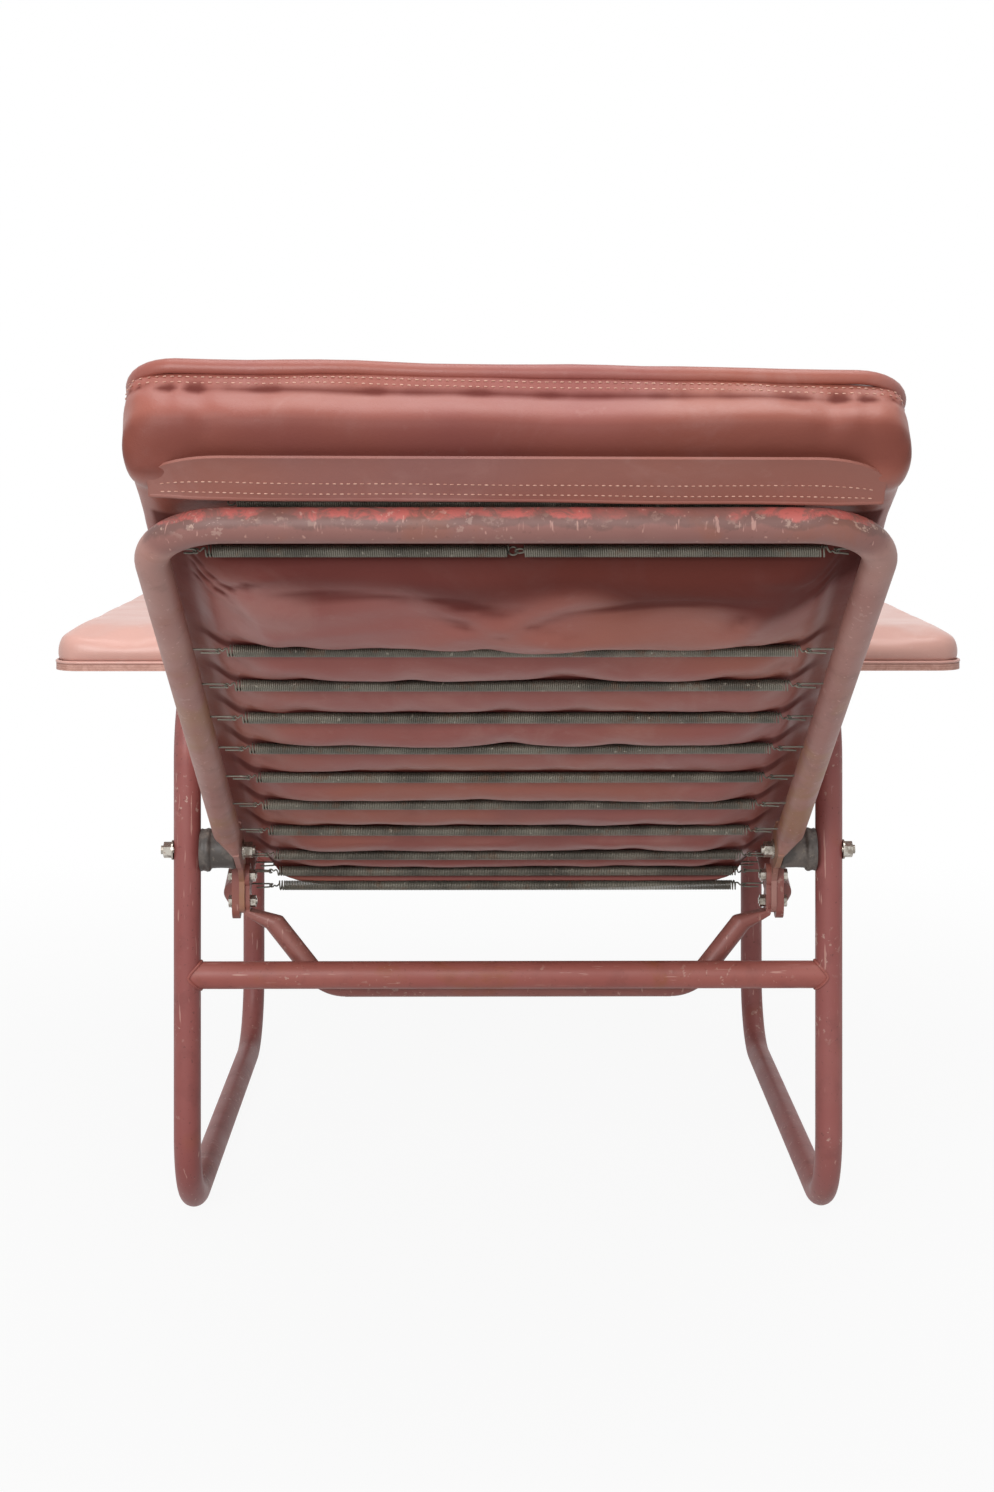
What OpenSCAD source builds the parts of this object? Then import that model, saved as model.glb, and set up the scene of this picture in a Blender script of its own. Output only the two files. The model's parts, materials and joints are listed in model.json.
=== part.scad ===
// Tubular lounge chair: two closed side frames carry a rocking lounge frame
// that is strung with extension springs and covered with three cushions.
// X runs across the chair, Y forward to the foot end, Z up from the floor.

/* [Base frame] */
// Outer diameter of the main tubes
tube_d = 25; // [20:0.5:32]
// Wall of the main tubes
tube_wall = 2; // [1:0.25:3]
// Distance between the centre lines of the two side frames
frame_gauge = 594; // [570:1:700]
// Distance from the rear leg to the front leg, centre to centre
leg_pitch = 611; // [450:1:800]
// Height of the rail under the armrest, at its centre line
rail_z = 507; // [440:1:600]
// Bend radius of the side frame corners
bend_r = 75; // [40:1:90]
// Height of the rear crossbar
rear_bar_z = 235; // [200:1:260]
// Height of the front crossbar
front_bar_z = 235; // [120:1:260]

/* [Armrests] */
// Length of an armrest
arm_len = 675; // [500:1:760]
// Width of an armrest
arm_w = 131; // [80:1:180]
// Thickness of the armrest board
arm_board_t = 6; // [6:0.5:18]
// Thickness of the armrest pad at its edge
arm_pad_t = 28; // [15:1:50]
// Extra height in the middle of the armrest pad
arm_crown = 3; // [0:0.5:8]
// How far the armrest reaches behind the rear leg
arm_behind = 30; // [10:1:60]
// How far the armrest reaches inward from the rail's centre line
arm_inward = 11; // [6:0.5:14]
// Corner radius of the armrest in plan
arm_corner_r = 26; // [12:1:38]
// Number of screws that hold each armrest
arm_screw_n = 3; // [2:1:5]
// Shank diameter of the armrest screws
arm_screw_d = 5; // [3:0.5:6]

/* [Pivot] */
// Height of the pivot bolts
pivot_z = 351; // [320:1:400]
// Diameter of the pivot bolts
bolt_d = 8; // [6:1:12]
// Outer diameter of the rubber bushes
bush_d = 35.5; // [28:0.5:38]
// Diameter of the flange at the leg end of a bush
bush_flange_d = 40; // [38:0.5:44]
// Thickness of the bush flange
bush_flange_t = 9; // [4:0.5:12]
// Width across the flats of the pivot nuts
nut_flats = 13; // [12:0.5:17]
// Thickness of the pivot nuts
nut_t = 7.5; // [5:0.5:10]
// Thickness of the washers under the pivot nuts
washer_t = 1.5; // [1:0.1:2.5]
// Outer diameter of those washers
washer_d = 18; // [16:0.5:24]

/* [Lounge frame] */
// Distance between the centre lines of the lounge side tubes
lounge_gauge = 512; // [480:1:514]
// Angle of the back above the level
back_angle = 30.5; // [25:0.5:40]
// Distance from the pivot up the back to the top bar's centre line
back_len = 640; // [560:1:720]
// Corner radius of the top bar
back_corner_r = 57; // [40:1:90]
// Angle of the seat above the level
seat_angle = 18; // [10:0.5:24]
// Distance from the hip to the knee
seat_len = 455; // [400:1:520]
// Angle of the leg rest below the level
leg_angle = 28; // [20:0.5:35]
// Distance from the knee to the foot bar's centre line
leg_len = 400; // [330:1:460]
// Bend radius at the knee
knee_r = 90; // [60:1:140]
// Corner radius of the foot bar
foot_corner_r = 57; // [40:1:90]
// Distance of the hip point forward of the pivot
hip_forward = 62; // [58:1:70]
// Distance of the hip point below the pivot
hip_drop = 44; // [40:1:50]
// Thickness of the flattened lower ends of the back tube
back_blade_t = 5; // [4:0.5:6]
// Thickness of the flattened rear ends of the seat tube
seat_blade_t = 7; // [4:0.5:8]
// Diameter of the hip bolts
hip_bolt_d = 6; // [5:0.5:8]

/* [Stop bail] */
// Diameter of the bail's tube
bail_d = 19; // [14:0.5:22]
// Wall of the bail's tube
bail_wall = 1.5; // [1:0.25:2.5]
// Distance from the middle of the bail to each lower corner
bail_half = 171; // [120:1:190]
// Bend radius of the bail's corners
bail_bend_r = 40; // [25:1:50]
// Thickness of the bail's flattened ends
bail_blade_t = 4.5; // [3:0.5:5]
// How far the bail's bar lies below the rear crossbar
bail_below = 15.8; // [5:0.1:30]

/* [Springs] */
// Outer diameter of the springs
spring_d = 9.5; // [7:0.5:12]
// Wire diameter of the springs
wire_d = 1.5; // [1:0.1:2]
// Length of the end stretch where a spring's curls stand apart
open_len = 5; // [4:0.5:8]
// Curls in that stretch
open_turns = 2; // [1:0.5:2]
// Reach from the end of the coil to the side tube
hook_reach = 21; // [17:0.5:30]
// Distance between spring rows on the back
back_pitch = 64.3; // [50:0.1:70]
// Spring rows below the open field of the back
back_rows = 8; // [4:1:8]
// Clearance between the lowest back row's hooks and the pivot washers
first_row_gap = 1; // [0.5:0.5:4]
// Distance of the paired head springs below the top bar
pair_drop = 38; // [30:1:80]
// Distance between spring rows on the seat
seat_pitch = 62; // [50:1:75]
// Spring rows on the seat
seat_rows = 6; // [4:1:6]
// Distance between spring rows on the leg rest
leg_pitch_rows = 64; // [50:1:75]
// Spring rows on the leg rest
leg_rows = 5; // [3:1:5]

/* [Cushions] */
// Width of the cushions
cushion_w = 540; // [480:1:548]
// Thickness of the cushions at their edges
cushion_t = 72; // [50:1:90]
// Extra height in the middle of the cushions
cushion_crown = 10; // [0:1:20]
// How far the back cushion reaches past the top bar
head_overhang = 60; // [45:1:90]
// How far the leg cushion reaches past the foot bar
foot_overhang = 20; // [0:1:50]
// Clearance between the top bar and the hem of the panel under the head end
pocket_hem_gap = 3; // [1:0.5:6]
// Thickness of that panel
pocket_t = 5; // [3:0.5:8]

/* [Hidden] */
$fn = 48;

// Clearances
weld_gap = 0.05;
body_gap = 0.3;
soft_gap = 0.4;
run_gap = 0.05;
drill_gap = 0.1;
bore_over = 1;
joint_lap = 0.5;
joint_step = 0.2;
flare_step = 0.4;

// Tube radii
tube_r = tube_d / 2;
tube_bore_r = tube_r - tube_wall;
bail_r = bail_d / 2;
wire_r = wire_d / 2;
coil_r = spring_d / 2 - wire_r;

// Side frames
frame_x = frame_gauge / 2;
floor_z = tube_r;
leg_inner_x = frame_x - tube_r;
leg_outer_x = frame_x + tube_r;

// Lounge frame, measured from the pivot axis
lounge_x = lounge_gauge / 2;
lounge_inner_x = lounge_x - tube_r;
knee_turn = seat_angle + leg_angle;
knee_tangent = knee_r * tan(knee_turn / 2);
hip_z = pivot_z - hip_drop;
knee_y = hip_forward + seat_len * cos(seat_angle);
knee_z = hip_z + seat_len * sin(seat_angle);

// Flattened ends are stacked outward from the bail to the seat tube
blade_inset = 2.5;
back_blade_x = lounge_inner_x + blade_inset;
seat_blade_x = back_blade_x + back_blade_t;
bail_blade_x = back_blade_x - bail_blade_t;
blade_eye_r = 17;
blade_lug_r = 10;
hook_lobe_r = 5;
bore_setback = 3;
blade_start = 22;
blade_root = 6;
flare_len = 25;
back_tube_end = blade_start + flare_len + 1;
seat_blade_gap = 1.25;
seat_blade_w = 24;
seat_blade_y = bush_d / 2 + seat_blade_gap + seat_blade_w / 2;
seat_blade_tip = -70;
seat_blade_len = 56;
seat_neck_drop = 22;
seat_neck_h = 30;
upper_bolt = [27, -29];
lower_bolt = [31, -54];
hip_bolt_head_t = 4;
hip_bolt_tail = 1;
hip_nut_t = 5;
hip_flats = hip_bolt_d * 1.67;
hip_head_r = hip_flats / 2 / cos(30);
seat_neck_y = lower_bolt[0] + hip_head_r + body_gap;
seat_tube_start = seat_neck_y + 9;

// Pivot stack
bush_inner_x = seat_blade_x + body_gap;
bush_outer_x = leg_inner_x - weld_gap;
inner_washer_x = back_blade_x - body_gap - washer_t;
inner_nut_x = inner_washer_x - nut_t;
bolt_tail = 2.5;
bolt_inner_x = inner_nut_x - bolt_tail;
outer_washer_x = leg_outer_x + weld_gap;
outer_nut_x = outer_washer_x + washer_t;
bolt_outer_x = outer_nut_x + nut_t + bolt_tail;

// Stop bail: at rest its legs lean on the front of the rear crossbar
stop_r = tube_r + bail_r + body_gap;
bail_top = [29, pivot_z - 42];
bail_over_bar = bail_top - [0, rear_bar_z];
bail_tilt = atan2(bail_over_bar[0], bail_over_bar[1]) - asin(stop_r / norm(bail_over_bar));
bail_bar_z = rear_bar_z - bail_below;
bail_rise = (bail_top[1] - bail_bar_z) / cos(bail_tilt);
bail_bar_y = bail_top[0] - bail_rise * sin(bail_tilt);
bail_ear_r = 11;
bail_neck_w = 18;
bail_cut = 40;
bail_blade_mid = bail_blade_x + bail_blade_t / 2;
bail_turn = atan2(bail_rise, bail_blade_mid - bail_half);
bail_tangent = bail_bend_r * tan(bail_turn / 2);
bail_leg = norm([bail_rise, bail_blade_mid - bail_half]);

// Springs
hook_r = 3.2;
hook_neck = 3;
hook_in_wall = tube_wall + 1.5;
coil_half = lounge_inner_x - hook_reach;
hook_hole_r = wire_r + 0.5;
hook_tail = 5;
end_lap = 0.5;
link_x = hook_r - wire_r - drill_gap / 2;
first_row_drop = washer_d / 2 + first_row_gap + wire_r + hook_r;
hip_row_s = -3;
hip_rear = [50, -29.5];
first_seat_row = 38.5;
first_leg_row = 30;
top_spring_inset = 8;
// The paired head springs hook where the back tube already bends inward
pair_u = back_len - pair_drop;
pair_rise = pair_u + hook_r - (back_len - back_corner_r);
pair_bend_r = back_corner_r - tube_r;
pair_inset = pair_rise > 0 ? pair_bend_r - sqrt(pow(pair_bend_r, 2) - pow(pair_rise, 2)) : 0;
pair_inner_x = lounge_inner_x - pair_inset;

// Armrests
arm_x0 = frame_x - arm_inward;
arm_y0 = -arm_behind;
arm_z = rail_z + tube_r + weld_gap;
arm_screw_first = bend_r + 40;
arm_screw_head_r = arm_screw_d * 0.9;
arm_screw_head_t = 3;
arm_screw_bite = arm_board_t - 1.5;

// Cushions lie on the springs and clear the bushes and the top spring
belly_n = spring_d / 2 + soft_gap;
belly_half = lounge_inner_x - 20;
belly_slope = 14;
belly_ramp = 20;
bar_clear = 30;
edge_n = max(bush_flange_d / 2, tube_r + body_gap + spring_d) + soft_gap;
cushion_half = cushion_w / 2;
cushion_top = edge_n + cushion_t;
head_u = back_len + head_overhang;
foot_u = leg_len + foot_overhang;
pocket_start = back_len + tube_r + pocket_hem_gap;
pocket_end = head_u - 16;
pocket_inset = 14;

// Depth of the soft end at each step from a cushion's end, as [along, draw, lift]
end_steps = [[0, 16, 22], [4, 8, 12], [12, 2, 4], [26, 0, 0]];
// Height of a cushion's crown where its end is drawn in by lift
function crown_at(lift) = cushion_crown * (1 - lift / (cushion_t / 2));

// Cushions are mitred where they meet at the hip and at the knee
hip_fold = back_angle + seat_angle;
hip_slope = tan(hip_fold / 2);
knee_slope = tan(knee_turn / 2);
hip_back_reach = (hip_forward * sin(seat_angle) + hip_drop * cos(seat_angle)) / sin(hip_fold);
hip_seat_reach = (hip_drop * cos(back_angle) - hip_forward * sin(back_angle)) / sin(hip_fold);

// The chair's length is centred on the origin
rear_end = min(concat(
    [(edge_n - soft_gap - pocket_t) * sin(back_angle) - pocket_end * cos(back_angle)],
    [for (e = end_steps)
        (edge_n + e[2]) * sin(back_angle) - (head_u - e[0]) * cos(back_angle)]));
front_end = knee_y + max([for (e = end_steps)
    (foot_u - e[0]) * cos(leg_angle)
    + (cushion_top - e[2] + crown_at(e[2]) * 0.95) * sin(leg_angle)]);
centre_y = (rear_end + front_end) / 2;

// Colours
paint = [0.55, 0.27, 0.25];
vinyl = [0.52, 0.30, 0.29];
arm_vinyl = [0.78, 0.52, 0.47];
spring_grey = [0.30, 0.31, 0.29];
rubber_black = [0.17, 0.16, 0.15];
zinc = [0.75, 0.75, 0.74];
plywood = [0.70, 0.52, 0.42];

// Frames of reference
module chair() { translate([0, -centre_y, 0]) children(); }
module on_back() { chair() translate([0, 0, pivot_z]) rotate([-back_angle, 0, 0]) children(); }
module on_seat() { chair() translate([0, hip_forward, hip_z]) rotate([seat_angle, 0, 0]) children(); }
module on_leg() { chair() translate([0, knee_y, knee_z]) rotate([-leg_angle, 0, 0]) children(); }
module side(s) { if (s > 0) children(); else mirror([1, 0, 0]) children(); }
module both_sides() { for (s = [-1, 1]) side(s) children(); }

// A rod along X from x0 to x1 at height z and depth y
module rod_x(x0, x1, r, y = 0, z = 0) {
    translate([x0, y, z]) rotate([0, 90, 0]) cylinder(h = x1 - x0, r = r);
}
// A rod along Y, its seam turned about its axis
module rod_y(y0, y1, r, x = 0, z = 0, turn = 0) {
    translate([x, y0, z]) rotate([-90, 0, 0]) rotate([0, 0, turn]) cylinder(h = y1 - y0, r = r);
}
module rod_z(z0, z1, r, x = 0, y = 0) {
    translate([x, y, z0]) cylinder(h = z1 - z0, r = r);
}
// An arc in the YZ plane about a centre, from angle a0 to a1 above +Y
module arc_yz(x, y, z, bend, a0, a1, r) {
    translate([x, y, z]) rotate([90, 0, 90]) rotate([0, 0, a0])
        rotate_extrude(angle = a1 - a0) translate([bend, 0]) circle(r = r);
}
// An arc in the XY plane about a centre
module arc_xy(x, y, bend, a0, a1, r) {
    translate([x, y, 0]) rotate([0, 0, a0])
        rotate_extrude(angle = a1 - a0) translate([bend, 0]) circle(r = r);
}
// A bend that runs a little into the straight stretches that it joins, a hair thinner
module bend_yz(x, y, z, bend, a0, a1, r) {
    lap = joint_lap / bend * 180 / PI;
    arc_yz(x, y, z, bend, a0 - lap, a1 + lap, r - joint_step);
}
module bend_xy(x, y, bend, a0, a1, r) {
    lap = joint_lap / bend * 180 / PI;
    arc_xy(x, y, bend, a0 - lap, a1 + lap, r - joint_step);
}
// A plate in the YZ plane, from x0 outward
module plate_yz(x0, t) {
    translate([x0, 0, 0]) rotate([90, 0, 90]) linear_extrude(t) children();
}

// Side frame: one tube bent into a closed loop
module loop(r) {
    rod_z(floor_z + bend_r, rail_z - bend_r, r, 0, 0);
    rod_z(floor_z + bend_r, rail_z - bend_r, r, 0, leg_pitch);
    rod_y(bend_r, leg_pitch - bend_r, r, 0, floor_z);
    rod_y(bend_r, leg_pitch - bend_r, r, 0, rail_z);
    arc_yz(0, bend_r, floor_z + bend_r, bend_r, 180, 270, r);
    arc_yz(0, leg_pitch - bend_r, floor_z + bend_r, bend_r, 270, 360, r);
    arc_yz(0, leg_pitch - bend_r, rail_z - bend_r, bend_r, 0, 90, r);
    arc_yz(0, bend_r, rail_z - bend_r, bend_r, 90, 180, r);
}
function arm_screw_y(i) = arm_screw_first
    + i * (leg_pitch - 2 * arm_screw_first) / (arm_screw_n - 1);
module side_frame(s) {
    color(paint) chair() side(s) difference() {
        translate([frame_x, 0, 0]) loop(tube_r);
        translate([frame_x, 0, 0]) loop(tube_bore_r);
        rod_x(leg_inner_x - bore_over, leg_outer_x + bore_over, bolt_d / 2 + drill_gap, 0, pivot_z);
        for (i = [0 : arm_screw_n - 1])
            rod_z(rail_z - tube_d, rail_z + tube_d, arm_screw_d / 2 + drill_gap,
                frame_x, arm_screw_y(i));
    }
}

// Crossbars: coped where they are welded to the legs
module crossbar(y, z) {
    color(paint) chair() difference() {
        rod_x(-frame_x, frame_x, tube_r, y, z);
        rod_x(-frame_x - bore_over, frame_x + bore_over, tube_bore_r, y, z);
        for (s = [-1, 1])
            rod_z(z - tube_d, z + tube_d, tube_r + weld_gap, s * frame_x, y);
    }
}

// Armrests
module arm_outline(inset = 0) {
    r = arm_corner_r - inset;
    translate([arm_x0 + inset, arm_y0 + inset]) {
        w = arm_w - 2 * inset;
        l = arm_len - 2 * inset;
        translate([r, 0]) square([w - 2 * r, l]);
        translate([0, r]) square([w, l - 2 * r]);
        for (x = [r, w - r], y = [r, l - r]) translate([x, y]) circle(r = r);
    }
}
module armrest_board(s) {
    color(plywood) chair() side(s) difference() {
        translate([0, 0, arm_z]) linear_extrude(arm_board_t) arm_outline();
        for (i = [0 : arm_screw_n - 1])
            rod_z(arm_z - bore_over, arm_z + arm_screw_bite, arm_screw_d / 2,
                frame_x, arm_screw_y(i));
    }
}
module armrest_screws(s) {
    color(zinc) chair() side(s) for (i = [0 : arm_screw_n - 1]) {
        head_z = rail_z - tube_r - weld_gap;
        rod_z(head_z, arm_z + arm_screw_bite, arm_screw_d / 2, frame_x, arm_screw_y(i));
        rod_z(head_z - arm_screw_head_t, head_z, arm_screw_head_r, frame_x, arm_screw_y(i));
    }
}

// A stack of equal rings as one closed solid of triangles, with a point in each end
function mean(ring) = [for (c = [0 : 2]) let (v = [for (p = ring) p[c]]) v * [for (p = ring) 1] / len(v)];
module skin(rings) {
    n = len(rings[0]);
    last = len(rings) - 1;
    pts = concat([for (ring = rings) each ring], [mean(rings[0]), mean(rings[last])]);
    foot = len(pts) - 2;
    tip = len(pts) - 1;
    sides = [for (i = [0 : last - 1], j = [0 : n - 1])
        let (a = i * n + j, b = i * n + (j + 1) % n)
        each [[a, b + n, b], [a, a + n, b + n]]];
    start = [for (j = [0 : n - 1]) [foot, j, (j + 1) % n]];
    end = [for (j = [0 : n - 1]) [tip, last * n + (j + 1) % n, last * n + j]];
    polyhedron(points = pts, faces = concat(sides, start, end), convexity = 6);
}
// The armrest pad's outline at one level, drawn in by inset
arm_arc_steps = 5;
function arm_ring(inset, z) =
    let (r = arm_corner_r - inset,
        x0 = arm_x0 + arm_corner_r, x1 = arm_x0 + arm_w - arm_corner_r,
        y0 = arm_y0 + arm_corner_r, y1 = arm_y0 + arm_len - arm_corner_r,
        corners = [[x1, y0, -90], [x1, y1, 0], [x0, y1, 90], [x0, y0, 180]])
    [for (c = corners, k = [0 : arm_arc_steps])
        let (a = c[2] + 90 * k / arm_arc_steps) [c[0] + r * cos(a), c[1] + r * sin(a), z]];
module armrest_pad(s) {
    z0 = arm_z + arm_board_t;
    profile = [[1.5, 0], [0, 3], [0, arm_pad_t * 0.55], [1.6, arm_pad_t * 0.78],
        [6, arm_pad_t * 0.95], [14, arm_pad_t], [24, arm_pad_t + arm_crown]];
    color(arm_vinyl) chair() side(s) skin([for (p = profile) arm_ring(p[0], z0 + p[1])]);
}

// Pivot hardware
module pivot_bolt(s) {
    color(zinc) chair() side(s) rod_x(bolt_inner_x, bolt_outer_x, bolt_d / 2, 0, pivot_z);
}
module pivot_bush(s) {
    color(rubber_black) chair() side(s) difference() {
        union() {
            rod_x(bush_inner_x, bush_outer_x, bush_d / 2, 0, pivot_z);
            rod_x(bush_outer_x - bush_flange_t, bush_outer_x, bush_flange_d / 2, 0, pivot_z);
        }
        rod_x(bush_inner_x - bore_over, bush_outer_x + bore_over, bolt_d / 2 + weld_gap, 0, pivot_z);
    }
}
module hex_nut(x0, t, flats, hole_r, y, z) {
    translate([x0, y, z]) rotate([0, 90, 0]) difference() {
        cylinder(h = t, r = flats / 2 / cos(30), $fn = 6);
        translate([0, 0, -bore_over]) cylinder(h = t + 2 * bore_over, r = hole_r);
    }
}
module washer(x0) {
    difference() {
        rod_x(x0, x0 + washer_t, washer_d / 2, 0, pivot_z);
        rod_x(x0 - bore_over, x0 + washer_t + bore_over, bolt_d / 2 + drill_gap, 0, pivot_z);
    }
}
module pivot_nuts_outer() {
    color(zinc) chair() both_sides() hex_nut(outer_nut_x, nut_t, nut_flats, bolt_d / 2, 0, pivot_z);
}
module pivot_nuts_inner() {
    color(zinc) chair() both_sides() hex_nut(inner_nut_x, nut_t, nut_flats, bolt_d / 2, 0, pivot_z);
}
module pivot_washers() {
    color(zinc) chair() both_sides() { washer(outer_washer_x); washer(inner_washer_x); }
}

// Back frame: an inverted U whose tube ends are flattened round the pivot
module back_path(r, end_u) {
    both_sides() {
        rod_y(-(back_len - back_corner_r), -end_u, r, lounge_x, 0);
        arc_xy(lounge_x - back_corner_r, -(back_len - back_corner_r), back_corner_r, -90, 0, r);
    }
    rod_x(-lounge_x + back_corner_r, lounge_x - back_corner_r, r, -back_len, 0);
}
function back_row_u(i) = -first_row_drop + i * back_pitch;
module hook_holes(ys, inner_x = lounge_inner_x) {
    for (y = ys) both_sides() rod_x(inner_x - bore_over, lounge_x, hook_hole_r, y, 0);
}
module back_blade() {
    hook_y = hip_rear[0] - hook_r;
    plate_yz(back_blade_x, back_blade_t) {
        circle(r = blade_eye_r);
        rotate(-back_angle) translate([-blade_start - blade_root, -blade_eye_r])
            square([blade_start + blade_root, 2 * blade_eye_r]);
        rotate(atan2(upper_bolt[1], upper_bolt[0])) translate([0, -blade_lug_r])
            square([norm(upper_bolt), 2 * blade_lug_r]);
        translate(upper_bolt) circle(r = blade_lug_r);
        translate([upper_bolt[0] - blade_lug_r, lower_bolt[1]])
            square([2 * blade_lug_r, upper_bolt[1] - lower_bolt[1]]);
        translate([upper_bolt[0], lower_bolt[1]]) circle(r = blade_lug_r);
        translate([upper_bolt[0], hip_rear[1] - hook_lobe_r])
            square([hook_y - upper_bolt[0], 2 * hook_lobe_r]);
        translate([hook_y, hip_rear[1]]) circle(r = hook_lobe_r);
    }
}
module back_frame() {
    color(paint) difference() {
        union() {
            on_back() difference() {
                back_path(tube_r, back_tube_end);
                back_path(tube_bore_r, back_tube_end + bore_setback);
                hook_holes([for (i = [1 : back_rows - 1]) -back_row_u(i) - hook_r]);
                hook_holes([-pair_u - hook_r], pair_inner_x);
            }
            on_back() both_sides() hull() {
                rod_y(-back_tube_end - 1, -back_tube_end + 1, tube_r - flare_step,
                    lounge_x, 0, $fn = 32);
                translate([back_blade_x + flare_step, -blade_start - 1, flare_step - blade_eye_r])
                    cube([back_blade_t - 2 * flare_step, 2, 2 * (blade_eye_r - flare_step)]);
            }
            chair() both_sides() translate([0, 0, pivot_z]) back_blade();
        }
        chair() both_sides() {
            rod_x(back_blade_x - bore_over, seat_blade_x + bore_over, bolt_d / 2 + run_gap, 0, pivot_z);
            for (b = [upper_bolt, lower_bolt])
                rod_x(back_blade_x - bore_over, seat_blade_x + bore_over,
                    hip_bolt_d / 2 + drill_gap, b[0], pivot_z + b[1]);
        }
        on_back() both_sides()
            rod_x(back_blade_x - bore_over, seat_blade_x + bore_over, hook_hole_r,
                first_row_drop - hook_r, 0);
        chair() both_sides()
            rod_x(back_blade_x - bore_over, seat_blade_x + bore_over, hook_hole_r,
                hip_rear[0] - hook_r, pivot_z + hip_rear[1]);
    }
}

// Seat frame: one tube from the hip over the knee to the foot bar
function seat_s(y) = (y - hip_forward) / cos(seat_angle);
module seat_path(r, start_y) {
    n1 = [-sin(seat_angle), cos(seat_angle)];
    t1 = [knee_y, knee_z] - knee_tangent * [cos(seat_angle), sin(seat_angle)];
    c = t1 - knee_r * n1;
    chair() both_sides()
        bend_yz(lounge_x, c[0], c[1], knee_r, 90 - leg_angle, 90 + seat_angle, r);
    on_seat() both_sides()
        rod_y(seat_s(start_y), seat_len - knee_tangent, r, lounge_x, 0, -90);
    on_leg() {
        both_sides() {
            rod_y(knee_tangent, leg_len - foot_corner_r, r, lounge_x, 0, -90);
            arc_xy(lounge_x - foot_corner_r, leg_len - foot_corner_r, foot_corner_r, 0, 90, r);
        }
        rod_x(-lounge_x + foot_corner_r, lounge_x - foot_corner_r, r, leg_len, 0);
    }
}
function seat_row_s(i) = first_seat_row + i * seat_pitch;
function leg_row_s(i) = knee_tangent + first_leg_row + i * leg_pitch_rows;
module seat_blade() {
    round_z = seat_blade_tip + seat_blade_w / 2;
    plate_yz(seat_blade_x, seat_blade_t) {
        translate([seat_blade_y - seat_blade_w / 2, round_z])
            square([seat_blade_w, seat_blade_len - seat_blade_w / 2]);
        translate([seat_blade_y, round_z]) circle(r = seat_blade_w / 2);
    }
}
module seat_frame() {
    color(paint) difference() {
        union() {
            difference() {
                seat_path(tube_r, seat_tube_start);
                seat_path(tube_bore_r, seat_tube_start + bore_setback);
                on_seat() {
                    hook_holes([hip_row_s + hook_r]);
                    hook_holes([for (i = [0 : seat_rows - 1]) seat_row_s(i) + hook_r]);
                }
                on_leg() hook_holes([for (i = [0 : leg_rows - 1]) leg_row_s(i) + hook_r]);
            }
            both_sides() hull() {
                on_seat() rod_y(seat_s(seat_tube_start) - 1, seat_s(seat_tube_start) + 1,
                    tube_r - flare_step, lounge_x, 0, $fn = 32);
                chair() translate([seat_blade_x + flare_step, seat_neck_y, hip_z - seat_neck_drop])
                    cube([seat_blade_t - 2 * flare_step, 2, seat_neck_h]);
            }
            chair() both_sides() translate([0, 0, pivot_z]) seat_blade();
        }
        chair() both_sides() for (b = [upper_bolt, lower_bolt])
            rod_x(seat_blade_x - bore_over, seat_blade_x + seat_blade_t + tube_d,
                hip_bolt_d / 2 + drill_gap, b[0], pivot_z + b[1]);
    }
}

// Stop bail: a thin tube hung from the hip, with its bar against the crossbar
module bail_path(r, cut) {
    both_sides() {
        translate([bail_half, 0, 0]) rotate([0, 0, bail_turn])
            rod_x(bail_tangent, bail_leg - cut, r);
        bend_xy(bail_half - bail_tangent, bail_bend_r, bail_bend_r, -90, -90 + bail_turn, r);
    }
    rod_x(-bail_half + bail_tangent, bail_half - bail_tangent, r, 0, 0);
}
module on_bail() {
    chair() translate([0, bail_bar_y, bail_bar_z]) rotate([90 - bail_tilt, 0, 0]) children();
}
module bail_ear() {
    plate_yz(bail_blade_x, bail_blade_t) {
        translate(upper_bolt) circle(r = bail_ear_r);
        translate(lower_bolt) circle(r = bail_ear_r);
        translate([lower_bolt[0] - bail_ear_r, lower_bolt[1]])
            square([upper_bolt[0] + 2 * bail_ear_r - lower_bolt[0], upper_bolt[1] - lower_bolt[1]]);
        translate([lower_bolt[0] - bail_neck_w / 2, lower_bolt[1] - bail_ear_r])
            square([bail_neck_w, bail_ear_r]);
    }
}
module stop_bail() {
    color(paint) difference() {
        union() {
            on_bail() difference() {
                bail_path(bail_r, bail_cut);
                bail_path(bail_r - bail_wall, bail_cut + bore_setback);
            }
            both_sides() hull() {
                on_bail() translate([bail_half, 0, 0]) rotate([0, 0, bail_turn])
                    rod_x(bail_leg - bail_cut - 1, bail_leg - bail_cut + 1,
                        bail_r - flare_step - joint_step, 0, 0, $fn = 32);
                chair() translate([bail_blade_x + flare_step,
                        lower_bolt[0] - bail_neck_w / 2 + flare_step,
                        pivot_z + lower_bolt[1] - bail_ear_r - 1])
                    cube([bail_blade_t - 2 * flare_step, bail_neck_w - 2 * flare_step, 4]);
            }
            chair() both_sides() translate([0, 0, pivot_z]) bail_ear();
        }
        chair() both_sides() for (b = [upper_bolt, lower_bolt])
            rod_x(bail_blade_x - tube_d, bail_blade_x + bail_blade_t + bore_over,
                hip_bolt_d / 2 + drill_gap, b[0], pivot_z + b[1]);
    }
}

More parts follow.
